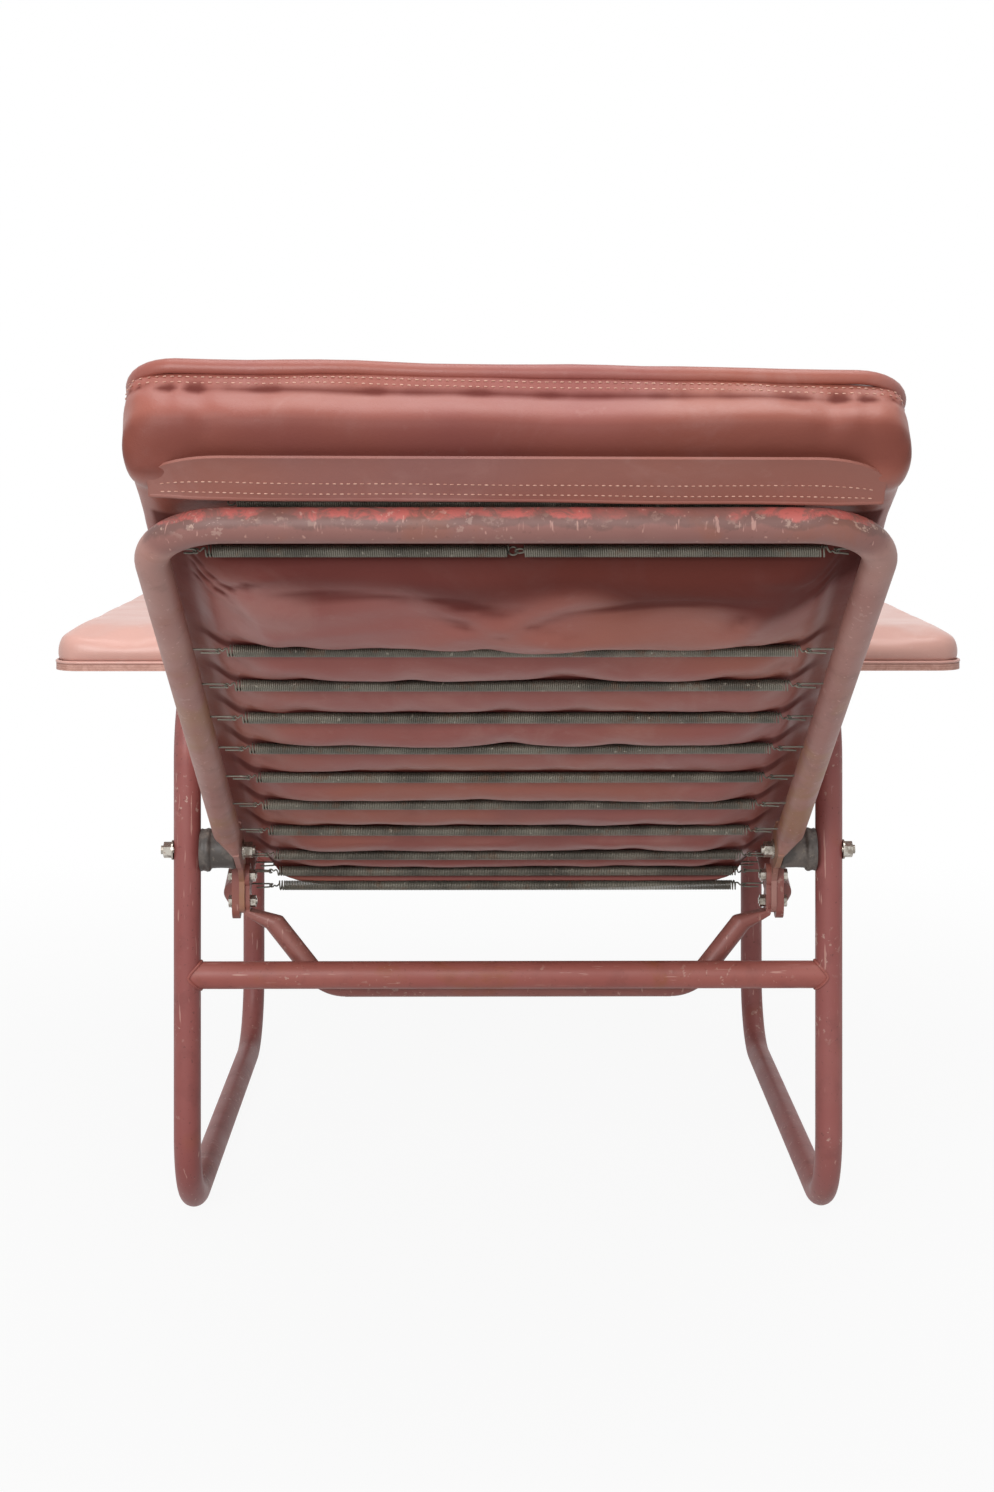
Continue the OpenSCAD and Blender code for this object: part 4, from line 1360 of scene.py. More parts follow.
@dataclass
class Mattress:
    """One stuffed cushion that bellies down between the spring rows.

    All sizes but the voxel are in the plane's millimetres: names in _y are places along
    the cushion, names in _n are heights, and names in _reach say how far it may swell.
    """

    node: str
    plane: Plane
    rows: Sequence[float]
    low_y: float
    high_y: float
    low_shear: float
    high_shear: float
    voxel: float
    material: Material
    thread: Material
    open_field: tuple[float, float] | None = None
    folds: Sequence[Fold] = ()
    hip: HipSag = HipSag(0.0, 1.0, 0.0)
    end_lift: float = 22.0
    end_round: float = 24.0
    rest_n: float = 5.6
    sag_n: float = -5.5
    belly_half: float = 223.5
    half: float = 270.0
    top_n: float = 94.7
    head_bar: float = 108.0
    foot_bar: float = 70.0
    row_edge: tuple[float, float] = (5.5, 19.0)
    row_hold: tuple[float, float] = (6.0, 20.0)
    belly_reach: float = 9.0
    tube_reach: float = 2.5
    side_reach: float = 4.0
    end_reach: float = 5.0
    top_reach: float = 5.0
    mitre_reach: float = 0.4
    mitre_band: float = 14.0
    seam_drop: float = 21.0
    seam_in: float = 3.6
    roll_n: float = 51.0
    roll_out: float = 8.5
    tuck_n: float = 27.0
    tuck_in: float = 5.5
    pleats: Sequence[tuple[float, float, float, float]] = ((196, 0.30, 7.5, 1.0), (230, 0.1, 6.0, 0.8))
    pleat_deep: float = 4.2
    welt_drop: float = 5.0
    welt_half: float = 5.6
    welt_deep: float = 4.2
    welt_sides: int = 14
    corner: float = 34.0
    mitre_corner: float = 12.0
    point_gap: float = 24.0
    stitch_gap: float = 5.2
    stitch_drops: tuple[float, float] = (8.2, 12.6)

    @property
    def low_free(self) -> bool:
        """True where the low end is the head end, with no cushion beyond it."""
        return self.low_shear == 0

    @property
    def high_free(self) -> bool:
        """True where no cushion lies beyond the high end."""
        return self.high_shear == 0

    def from_row(self, y: float) -> float:
        """Distance to the nearest spring row."""
        return min(abs(y - row) for row in self.rows)

    def build(self) -> Piece:
        """Makes the cushion, its welt and its stitching.

        Returns:
            The cushion.
        """
        piece = remeshed(f"{self.node}_cover", node_copy(self.node, self.plane), self.voxel)
        reshaped(piece, self.shaped)
        piece.data.update()
        Swell().run(piece, self.held, self.cap)
        evened(piece, 3)
        reshaped(piece, self.folded)
        evened(piece, 1)
        self.mark_painted_shade(piece)
        rings = self.welt_path()
        tree = self.tree(piece)
        self.place(piece)
        self.welt(rings)
        self.stitches(tree, rings)
        return piece

    def belly(self, point: Vector) -> float:
        """Height of the underside over a point between the tubes.

        Args:
            point: A point in the plane's millimetres.

        Returns:
            The height of the cover there.
        """
        fullness = 0.80 + 0.20 * math.sin(point.y * 0.043 + 1.0)
        drop = ease(*self.row_edge, self.from_row(point.y)) * fullness
        side = ease(self.belly_half, self.belly_half - 46, abs(point.x))
        depth = (self.rest_n - self.sag_n) * drop * side
        wave = noise.noise(Vector((point.x * 0.011, point.y * 0.030, 3.0))) * 1.9 * drop * side
        return self.rest_n - depth + wave + self.field_drop(point)

    def field_share(self, y: float) -> float:
        """How far along the open field a place lies: from 0 to 1 within it.

        Args:
            y: The place along the cushion.

        Returns:
            The share, or -1 where there is no open field.
        """
        if self.open_field is None:
            return -1.0
        low, high = self.open_field
        return (y - low) / (high - low)

    def field_drop(self, point: Vector) -> float:
        """Extra fullness of the open field below the top bar.

        Args:
            point: A point in millimetres.

        Returns:
            The drop there in millimetres.
        """
        share = self.field_share(point.y)
        if not 0 < share < 1:
            return 0.0
        side = ease(self.belly_half, self.belly_half - 60, abs(point.x))
        full = math.sin(math.pi * share ** 1.9) * -8.0 + 2.5 * ease(0.34, 0.0, share)
        cross = noise.noise(Vector((point.x * 0.0105 + 5.3, share * 2.4, 1.7))) * 9.0
        fold = math.sin(share * 15 + math.sin(point.x * 0.012) * 1.6) * 1.3
        return side * (full + (cross + fold) * math.sin(math.pi * share))

    def shaped(self, point: Vector) -> Vector:
        """Draws the cover in a little and lets it belly down between the springs.

        Args:
            point: A point of the CAD solid's skin, in millimetres.

        Returns:
            The point of the slack cover.
        """
        point = self.hip_filled(point)
        moved = point.copy()
        inward = 2.0 * ease(0.0, 200.0, abs(point.x))
        moved.x -= math.copysign(inward, point.x)
        if point.z > 60:
            moved.z -= 2.5
        if point.z < 16 and abs(point.x) < self.belly_half + 8:
            share = ease(self.belly_half + 6, self.belly_half - 26, abs(point.x))
            under = ease(16.0, 7.0, point.z)
            moved.z += (self.belly(point) - 5.15) * share * under
        return moved

    def hip_filled(self, point: Vector) -> Vector:
        """Lets the rounded foot of the hip end down until it meets its neighbour.

        Args:
            point: A point of the CAD solid's skin, in millimetres.

        Returns:
            The lowered point.
        """
        if not self.hip.depth:
            return point
        if self.hip.start < self.hip.full:
            depth = self.high_y + self.high_shear * point.z - point.y
        else:
            depth = point.y - self.low_y - self.low_shear * point.z
        share = 1 - min(1.0, max(0.0, depth / self.end_round))
        drop = self.end_lift * share ** 1.6 * ease(66, 26, point.z)
        return Vector((point.x, point.y, point.z - drop))

    def held(self, point: Vector, normal: Vector) -> float:
        """Where the swelling cover is held: its rims, its rows and its mitred ends.

        Args:
            point: A point in metres.
            normal: The cover's normal there.

        Returns:
            How firmly it is held, from 0 to 1.
        """
        spot = point * TO_MM
        rim = ease(9.0, 2.0, abs(spot.z - (self.top_n - self.welt_drop)))
        on_row = self.from_row(spot.y) < 7 and spot.z < 12
        top = 0.35 if normal.z > 0.5 else 0.0
        return max(rim if abs(normal.z) < 0.8 else 0.0, 1.0 if on_row else 0.0, top, 0.04)

    def cap(self, point: Vector, normal: Vector) -> float:
        """How far the cover may move.

        Args:
            point: A point in metres.
            normal: The cover's normal there.

        Returns:
            The reach in metres.
        """
        spot = point * TO_MM
        if normal.z > 0.4:
            return self.top_reach * MM
        low_end = self.low_y + spot.z * self.low_shear
        high_end = self.high_y + spot.z * self.high_shear
        from_end = min(spot.y - low_end, high_end - spot.y)
        from_low = spot.y - low_end if self.low_shear else self.mitre_band
        from_high = high_end - spot.y if self.high_shear else self.mitre_band
        if min(from_low, from_high) < self.mitre_band:
            return self.mitre_reach * MM
        if normal.z < -0.3:
            tube = ease(self.belly_half - 20, self.belly_half + 4, abs(spot.x))
            if self.over_bar(spot.y):
                tube = 1.0
            free = self.belly_reach * ease(*self.row_hold, self.from_row(spot.y)) + 0.2
            return (free * (1 - tube) + self.tube_reach * tube) * MM
        return (self.side_reach if from_end > 20 else self.end_reach) * MM

    def over_bar(self, y: float) -> bool:
        """True where the cushion lies over an end bar."""
        return self.low_free and y < self.low_y + self.head_bar \
            or self.high_free and y > self.high_y - self.foot_bar

    def folded(self, point: Vector) -> Vector:
        """Pulls the corners of the cover into the folds that age gave it.

        Args:
            point: A point of the swollen cover, in millimetres.

        Returns:
            The point with its folds.
        """
        moved = point.copy()
        tired = noise.noise(Vector((point.x * 0.014, point.y * 0.016, point.z * 0.02)))
        fine = noise.noise(Vector((point.x * 0.045 + 9, point.y * 0.05, point.z * 0.05)))
        side = ease(self.half - 34, self.half - 8, abs(point.x))
        moved.x += math.copysign((tired * 2.4 + fine * 0.8) * side, point.x)
        if point.z > self.top_n - 12:
            moved.z += tired * 2.0 - 0.6 * abs(fine)
        band = hump(point.z, self.top_n - self.seam_drop, 3.2)
        moved.x -= math.copysign(1.6 * band * side, point.x)
        if point.z < 22:
            under = ease(22, 10, point.z)
            inside = ease(self.belly_half + 2, self.belly_half - 22, abs(point.x))
            moved.z -= under * inside * sum(fold.rise(point) for fold in self.folds)
            middle = ease(self.belly_half + 8, self.belly_half - 8, abs(point.x))
            moved.z -= under * middle * self.hip.drop(point.y)
        if self.low_free:
            moved = self.head_end(moved, tired)
        if self.high_free:
            end = ease(self.high_y - 30, self.high_y - 4, point.y)
            moved.y -= 1.8 * band * end
        return moved

    def head_end(self, point: Vector, tired: float) -> Vector:
        """The head end: a drawn-in stitched band over a fat roll with corner pleats.

        Args:
            point: A point in millimetres.
            tired: The slow unevenness there.

        Returns:
            The changed point.
        """
        moved = point.copy()
        near = ease(self.low_y + 40, self.low_y + 8, point.y)
        if near > 0:
            band = hump(point.z, self.top_n - self.seam_drop, 5.0)
            roll = hump(point.z, self.roll_n, 15.0)
            tuck = hump(point.z, self.tuck_n, 6.5)
            middle = ease(self.half + 6, self.half - 44, abs(point.x))
            moved.y += near * (self.seam_in * band - self.roll_out * roll * middle
                               + self.tuck_in * tuck * middle + tired * 1.6)
            moved.z -= near * 4.0 * roll * middle
            pleat = sum(share * hump(abs(point.x), x + slant * point.z, width)
                        for x, slant, width, share in self.pleats)
            moved.y += near * pleat * self.pleat_deep * ease(22, 46, point.z) * ease(88, 70, point.z)
            sway = math.sin(point.x * 0.021 + 0.8) + 0.6 * math.sin(point.x * 0.047)
            moved.y += near * sway * 1.1 * roll
        flap = ease(222, 250, abs(point.x)) * ease(40, 20, point.z) * ease(-648, -664, point.y)
        moved.z -= 5.0 * flap
        corner = ease(195, 214, abs(point.x)) * ease(-585, -560, point.y) * ease(-515, -545, point.y)
        if point.z < 14 and corner > 0:
            moved.z += corner * 3.0 * math.sin(point.y * 0.35 + abs(point.x) * 0.22)
        return self.leaned(moved)

    def leaned(self, point: Vector) -> Vector:
        """Lets the head end hang a little lower on one side.

        Args:
            point: A point in millimetres.

        Returns:
            The lowered point.
        """
        lean = ease(self.low_y + 260, self.low_y, point.y) * point.x / self.half
        return point + Vector((0, 4.0 * lean, -3.0 * lean * ease(20, 70, point.z)))

    def mark_painted_shade(self, piece: Piece) -> None:
        """Writes painted shade for the finish: how deep each point lies in a fold, how near it lies to a
        spring row underneath, the seam line under the welt, and the shade under the head roll and top
        bar.

        Args:
            piece: The cushion.
        """
        mesh = piece.data
        layer = mesh.attributes.new("crease", "FLOAT", "POINT")
        shape = bmesh.new()
        shape.from_mesh(mesh)
        shape.verts.ensure_lookup_table()
        shape.normal_update()
        raw = []
        for vert in shape.verts:
            ring = [edge.other_vert(vert).co for edge in vert.link_edges]
            middle = sum(ring, Vector()) / len(ring)
            raw.append((middle - vert.co).dot(vert.normal) * TO_MM)
        for index, vert in enumerate(shape.verts):
            spot = vert.co * TO_MM
            under = ease(24.0, 12.0, spot.z) if vert.normal.z < 0.2 else 0.0
            # Painted shade on the underside close to each spring row.
            row_dark = under * ease(12.0, 5.0, self.from_row(spot.y))
            head = ease(self.low_y + 34, self.low_y + 16, spot.y) if self.low_free else 0.0
            line = self.top_n - self.seam_drop - 3.0 * head * spot.x / self.half
            # Painted shade along the seam line under the welt.
            seam = hump(spot.z, line, 2.6) * ease(0.8, 0.4, abs(vert.normal.z))
            # Painted shade in hollows: how far a point lies below its neighbours.
            curve = max(0.0, raw[index] - 0.10) * 0.9 * (1 - 0.9 * head * ease(69, 63, spot.z))
            deep = curve + self.roll_and_bar_shade(spot)
            layer.data[index].value = min(1.0, deep + 0.8 * row_dark + (0.35 + 0.25 * head) * seam)
        shape.free()

    def roll_and_bar_shade(self, spot: Vector) -> float:
        """Painted shade under the head end's roll and painted shadow of the top bar, heavier towards +X.

        Args:
            spot: A point in millimetres.

        Returns:
            The painted shade's share.
        """
        if self.open_field is None:
            return 0.0
        # Painted shade under the head end's roll.
        under = 0.56 * ease(62, 42, spot.z) * ease(self.low_y + 34, self.low_y + 16, spot.y)
        if spot.z > 24:
            return under
        share = self.field_share(spot.y)
        if not -0.2 < share < 1:
            return under
        cloud = noise.noise(Vector((spot.x * 0.013, spot.y * 0.022, 6.0)))
        # Painted shadow of the top bar over the upper open field.
        bar_shadow = 0.72 * ease(0.55, 0.02, share + 0.25 * cloud)
        # Painted shade that grows towards +X, the right side.
        right_side_shade = 0.62 * ease(-60, 200, spot.x) * ease(0.85, 0.25, share + 0.2 * cloud)
        return (bar_shadow + right_side_shade) * ease(1.0, 0.8, share)

    def tree(self, piece: Piece) -> BVHTree:
        """A search tree of the cover in the plane's metres."""
        return BVHTree.FromPolygons([vert.co.copy() for vert in piece.data.vertices],
                                    [tuple(face.vertices) for face in piece.data.polygons])

    def place(self, piece: Piece) -> None:
        """Brings the cover to its place and gives it its smooth skin and finish."""
        piece.data.transform(self.plane.metric())
        skinned(piece, self.material, Body.LOUNGE, self.node)

    def welt_path(self) -> list[tuple[Vector, Vector]]:
        """Centre line of the welt round the top of the cushion.

        Returns:
            Points with their outward directions, in the plane's millimetres.
        """
        level = self.top_n - self.welt_drop
        low = self.low_y + level * self.low_shear + (5.0 if self.low_free else 3.6)
        high = self.high_y + level * self.high_shear - (5.0 if self.high_free else 3.6)
        half = self.half - 3.0
        corners = []
        for x, y in SQUARE:
            radius = self.corner if (self.high_free if y > 0 else self.low_free) else self.mitre_corner
            centre = Vector((x * (half - radius), (high - radius) if y > 0 else (low + radius), level))
            corners.append((centre, radius))
        return self.filled(corner_path(corners))

    def filled(self, path: list[tuple[Vector, Vector]]) -> list[tuple[Vector, Vector]]:
        """Adds points along the long straights, with a slight wander.

        Args:
            path: The corners' points.

        Returns:
            The whole path.
        """
        full: list[tuple[Vector, Vector]] = []
        for index, (point, out) in enumerate(path):
            after = path[(index + 1) % len(path)][0]
            full.append((point, out))
            steps = int((after - point).length / self.point_gap)
            for step in range(1, steps):
                full.append((point.lerp(after, step / steps), out))
        wandered = []
        for point, out in full:
            shift = noise.noise(point * 0.013) * 1.5
            place = point + out * shift * 0.5 + Vector((0, 0, shift))
            wandered.append((self.leaned(place) if self.low_free else place, out))
        return wandered

    def welt(self, path: list[tuple[Vector, Vector]]) -> None:
        """Sews the flat welt round the top edge.

        Args:
            path: Its centre line.
        """
        shape, rings = wire_loop([point for point, _ in path], 1.0, self.welt_sides)
        for (point, out), ring in zip(path, rings):
            across = Vector((out.x, out.y, 0)).normalized()
            bulge = 1.0 + 0.12 * noise.noise(point * 0.03)
            for vert in ring:
                offset = vert.co - point
                vert.co = point + across * offset.dot(across) * self.welt_deep * bulge \
                    + Vector((0, 0, offset.z * self.welt_half * bulge))
        close_loop(shape, rings)
        self.dress(f"{self.node}_welt", shape, self.material)

    def dress(self, name: str, shape: BMesh, material: Material) -> None:
        """Publishes a part of the cushion's trim."""
        publish(name, shape, self.plane.drawn(), material, Body.LOUNGE)

    def stitches(self, tree: BVHTree, path: list[tuple[Vector, Vector]]) -> None:
        """Sews two rows of stitches under the welt.

        Args:
            tree: The cover.
            path: The welt's centre line.
        """
        sewing = Sewing()
        for drop in self.stitch_drops:
            walked = 0.0
            for index, (point, out) in enumerate(path):
                after = path[(index + 1) % len(path)][0]
                length = (after - point).length
                while walked < length:
                    spot = point.lerp(after, walked / length)
                    self.stitch(sewing, tree, spot - Vector((0, 0, drop)), out, after - point)
                    walked += self.stitch_gap
                walked -= length
        self.dress(f"{self.node}_stitches", sewing.sew(), self.thread)

    def stitch(self, sewing: Sewing, tree: BVHTree, spot: Vector, out: Vector, way: Vector) -> None:
        """Sets one stitch on the cover.

        Args:
            sewing: The stitches so far.
            tree: The cover.
            spot: Where the stitch is wanted.
            out: The outward direction.
            way: The direction of the row.
        """
        hit, _, _, _ = tree.ray_cast((spot + out * 14) * MM, -out)
        if hit is not None:
            sewing.stitch(hit * TO_MM + out * 0.15, way, out)


@dataclass
class HeadPocket:
    """The panel of cloth under the head end, with a rolled and stitched hem."""

    material: Material
    thread: Material
    plane: Plane
    half: float = 250.0
    top_u: float = 692.0
    hem_u: float = 655.5
    top_n: float = 24.5
    hem_n: float = 11.5
    thick: float = 2.0
    count: int = 104
    skew: float = 5.0
    shoulder: float = 0.80
    hem_r: float = 2.3
    hem_steps: int = 60
    stitch_rows_at: tuple[float, float] = (0.62, 0.86)

    def point(self, across: float, down: float) -> Vector:
        """A point of the panel.

        Args:
            across: From -1 to 1 over its width.
            down: From 0 at the top to 1 at the hem.

        Returns:
            The point in the plane's millimetres.
        """
        x = across * self.half
        bend = min(1.0, max(0.0, (abs(across) - self.shoulder) / (1.02 - self.shoulder)))
        arch = 0.82 * (1 - math.sqrt(1 - bend * bend))
        down = arch + (1 - arch) * down
        u = self.top_u + (self.hem_u - self.top_u) * down - self.skew * across * (0.3 + 0.7 * down)
        n = self.top_n + (self.hem_n - self.top_n) * down ** 1.4
        n += 1.5 * ease(0.85, 1.0, abs(across)) * down
        n -= 1.6 * math.sin(math.pi * down) * (1 - across * across)
        n += noise.noise(Vector((x * 0.012, down * 1.5, 0.4))) * 1.3 * down
        return Vector((x, -u, n))

    def build(self) -> None:
        """Makes the panel, its hem and the stitching on it."""
        shape = bmesh.new()
        bmesh.ops.create_grid(shape, x_segments=72, y_segments=12, size=1.0)
        for vert in shape.verts:
            vert.co = self.point(vert.co.x, 0.5 - 0.5 * vert.co.y)
        area = sum(face.calc_area() for face in shape.faces) * MM * MM
        bmesh.ops.solidify(shape, geom=shape.faces[:], thickness=self.thick)
        panel = publish("head_pocket_panel", shape, self.plane.drawn(), self.material, Body.LOUNGE,
                        ["head_pocket"], 70)
        hem = self.hem()
        rows = self.stitch_rows()

    def hem(self) -> Piece:
        """The rolled edge of the panel.

        Returns:
            The hem.
        """
        shape = bmesh.new()
        points = [self.point(-0.995 + 1.99 * step / self.hem_steps, 1.0)
                  for step in range(self.hem_steps + 1)]
        run = WireRun(shape, points[0], points[1] - points[0], self.hem_r, 10).cap()
        for index in range(1, len(points)):
            after = points[min(index + 1, len(points) - 1)]
            run.to(points[index], after - points[index - 1])
        run.cap()
        return publish("head_pocket_hem", shape, self.plane.drawn(), self.material, Body.LOUNGE)

    def stitch_rows(self) -> Piece:
        """The stitches above the hem.

        Returns:
            The stitching.
        """
        sewing = Sewing()
        for drop in self.stitch_rows_at:
            for step in range(self.count):
                across = -0.97 + 1.94 * (step + 0.5) / self.count
                here = self.point(across, drop)
                way = self.point(across + 0.01, drop) - here
                slope = self.point(across, drop + 0.06) - here
                out = way.cross(slope).normalized()
                if out.z > 0:
                    out = -out
                sewing.stitch(here + out * self.thick, way, out)
        return publish("head_pocket_stitches", sewing.sew(), self.plane.drawn(), self.thread,
                       Body.LOUNGE)


@dataclass
class ArmPad:
    """A padded armrest: a soft vinyl pad with a piped lower edge over its board."""

    side: Side
    material: Material
    pipe_r: float = 1.5
    voxel: float = 0.0055
    corner: float = 0.026
    inset: float = 0.0008
    round_end: float = 0.06
    groove_at: float = 0.0042
    groove_width: float = 0.0016
    groove_deep: float = 0.0010
    groove_from: float = 0.02

    def build(self) -> None:
        """Makes the pad and its piping."""
        name = f"armrest_pad_{self.side.name.lower()}"
        plane = Plane(Vector(), 0)
        low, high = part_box(name)
        piece = remeshed(f"{name}_cover", node_copy(name, plane), self.voxel)
        Swell(pressure=5.0, stiffness=20.0, bending=2.0, growth=0.0).run(
            piece, lambda point, normal: 1.0 if normal.z < -0.3 or point.z < low.z + 0.004 else 0.05,
            lambda point, normal: 0.0030)
        for vert in piece.data.vertices:
            vert.co = self.worn(vert.co, low, high)
        evened(piece, 3)
        # An empty painted-shade attribute: the armrests get no painted shade.
        piece.data.attributes.new("crease", "FLOAT", "POINT")
        skinned(piece, self.material, Body.BASE, name)
        self.piping(name, low, high)

    def worn(self, point: Vector, low: Vector, high: Vector) -> Vector:
        """Makes the cover uneven and draws in the groove over its piping.

        Args:
            point: A point in metres.
            low: The pad's lowest corner.
            high: Its highest corner.

        Returns:
            The changed point.
        """
        lift = noise.noise(point * 14) * 0.0016 + noise.noise(point * 45) * 0.0004
        moved = point + Vector((0, 0, lift * ease(low.z + 0.006, high.z - 0.004, point.z)))
        spine = min(max(moved.y, low.y + self.round_end), high.y - self.round_end)
        way = Vector(((low.x + high.x) / 2, spine, moved.z)) - moved
        groove = hump(moved.z, low.z + self.groove_at, self.groove_width)
        if way.length > self.groove_from:
            moved += way.normalized() * self.groove_deep * groove
        moved.z = max(moved.z, low.z)
        return moved

    def piping(self, name: str, low: Vector, high: Vector) -> None:
        """Runs a thin cord of vinyl round the foot of the pad.

        Args:
            name: The pad's node.
            low: The pad's lowest corner.
            high: Its highest corner.
        """
        radius, level = self.corner, low.z + self.pipe_r * MM
        corners = [(Vector((high.x - radius if x > 0 else low.x + radius,
                            high.y - radius if y > 0 else low.y + radius, level)), radius - self.inset)
                   for x, y in SQUARE]
        shape, rings = wire_loop([point for point, _ in corner_path(corners)], self.pipe_r * MM, 8)
        close_loop(shape, rings)
        publish(f"{name}_piping", shape, Matrix(), self.material, Body.BASE)


# ---------------------------------------------------------------- hardware


@dataclass
class PivotBush:
    """A moulded rubber bush with a lipped flange at the leg and a rolled rim inside."""

    side: Side
    material: Material
    bore: float = 4.05
    steps: int = 64
    waist: float = 16.5
    lip: Sequence[tuple[float, float]] = ((0.0, 15.4), (0.5, 16.6), (1.6, 17.6), (3.6, 17.7),
                                          (4.6, 17.0), (5.6, 16.7))
    rim: Sequence[tuple[float, float]] = ((11.5, 16.8), (10.2, 17.2), (9.4, 18.9), (8.2, 19.8),
                                          (6.4, 20.0), (4.6, 19.3), (3.0, 19.0), (0.8, 19.6), (0.0, 19.0))

    def build(self) -> None:
        """Turns the bush from its outline."""
        name = f"pivot_bush_{self.side.name.lower()}"
        low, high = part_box(name)
        inner, outer = low / MM, high / MM
        start, end = (inner.x, outer.x) if self.side is Side.RIGHT else (outer.x, inner.x)
        toward = 1.0 if end > start else -1.0
        length = abs(end - start)
        outline = [(0.0, self.bore), *self.lip, (length * 0.45, self.waist),
                   *((length - back, radius) for back, radius in self.rim), (length, self.bore)]
        shape = bmesh.new()
        verts = [shape.verts.new((start + toward * along, radius, 0)) for along, radius in outline]
        edges = [shape.edges.new(pair) for pair in zip(verts, verts[1:] + verts[:1])]
        bmesh.ops.spin(shape, geom=verts + edges, cent=Vector(), axis=X_AXIS, dvec=Vector(),
                       angle=math.tau, steps=self.steps, use_merge=True, use_normal_flip=False,
                       use_duplicate=False)
        bmesh.ops.remove_doubles(shape, verts=shape.verts, dist=0.001)
        place = Matrix.Translation(PLANES.pivot * MM) @ Matrix.Scale(MM, 4)
        publish(f"{name}_moulding", shape, place, self.material, Body.BASE, [name], 50)


@dataclass
class WeldBead:
    """A weld bead round the coped end of a crossbar."""

    node: str
    side: Side
    material: Material
    bead: float = 1.5
    count: int = 40

    def build(self) -> None:
        """Lays the bead along the curve where the two tubes meet."""
        low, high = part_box(self.node)
        middle = (low + high) / 2 / MM
        path: list[Vector] = []
        reach = TUBE_R + 0.35
        for step in range(self.count):
            angle = math.tau * step / self.count
            y, z = reach * math.cos(angle), reach * math.sin(angle)
            away = math.sqrt(max(0.0, (TUBE_R + 0.6) ** 2 - y * y))
            x = self.side.value * (FRAME_X - away - 0.25 * math.sin(step * 2.4))
            path.append(Vector((x, middle.y + y, middle.z + z)))
        shape, rings = wire_loop(path, self.bead, 8)
        close_loop(shape, rings)
        smooth(shape, 0.4)
        publish(f"{self.node}_weld_{self.side.name.lower()}", shape, Matrix.Scale(MM, 4), self.material,
                Body.BASE)


class Wardrobe:
    """Every finish of the chair, and the CAD nodes that wear them."""

    def __init__(self) -> None:
        """Mixes every finish."""
        self.leg = WornPaint("leg_paint", shade(146, 78, 74), shade(170, 112, 106),
                             fade=0.5, rust=0.22, chips=0.5).build()
        self.bar = WornPaint("crossbar_paint", shade(156, 84, 76), shade(170, 106, 94),
                             fade=0.5, rust=0.62, chips=0.4, along_x=True).build()
        self.back = WornBackPaint("back_tube_paint", shade(164, 114, 105), shade(192, 150, 138),
                                  fade=0.7, rust=0.25, chips=0.25).build()
        self.seat = WornPaint("seat_tube_paint", shade(142, 82, 74), shade(170, 118, 108),
                              fade=0.5, rust=0.3, chips=0.4).build()
        # The last colour of each cloth is its painted shade colour.
        self.vinyl = CoatedCloth("mattress_cloth", shade(148, 83, 76), shade(156, 90, 75),
                                 shade(168, 118, 110), shade(84, 36, 33)).build()
        self.pocket = CoatedCloth("pocket_cloth", shade(142, 92, 86), shade(148, 92, 80),
                                  shade(162, 116, 108), shade(104, 58, 54), rough=0.48).build()
        self.arm = CoatedCloth("armrest_cloth", shade(208, 160, 148), shade(210, 162, 150),
                               shade(224, 192, 184), shade(140, 88, 78), rough=0.34, grain=0.7).build()
        self.spring = SpringWire().build()
        self.rubber = AgedRubber().build()
        self.zinc = ZincPlate().build()
        self.ply = PaintedPly().build()
        self.thread = Thread().build()

    def dress(self) -> None:
        """Puts its finish on every CAD node that stays."""
        worn = {"rear_crossbar": self.bar, "front_crossbar": self.bar, "back_frame": self.back,
                "seat_frame": self.seat, "stop_bail": self.seat}
        for side in ("left", "right"):
            worn |= {f"side_frame_{side}": self.leg, f"armrest_board_{side}": self.ply}
        for name, node in frame["nodes"].items():
            if any(part in name for part in ("bolt", "nut", "washer", "screw")):
                worn[name] = self.zinc
            if name in worn:
                node.data.materials.clear()
                node.data.materials.append(worn[name])
                LOG.info("%s wears %s", name, worn[name].name)


# ---------------------------------------------------------------- studio


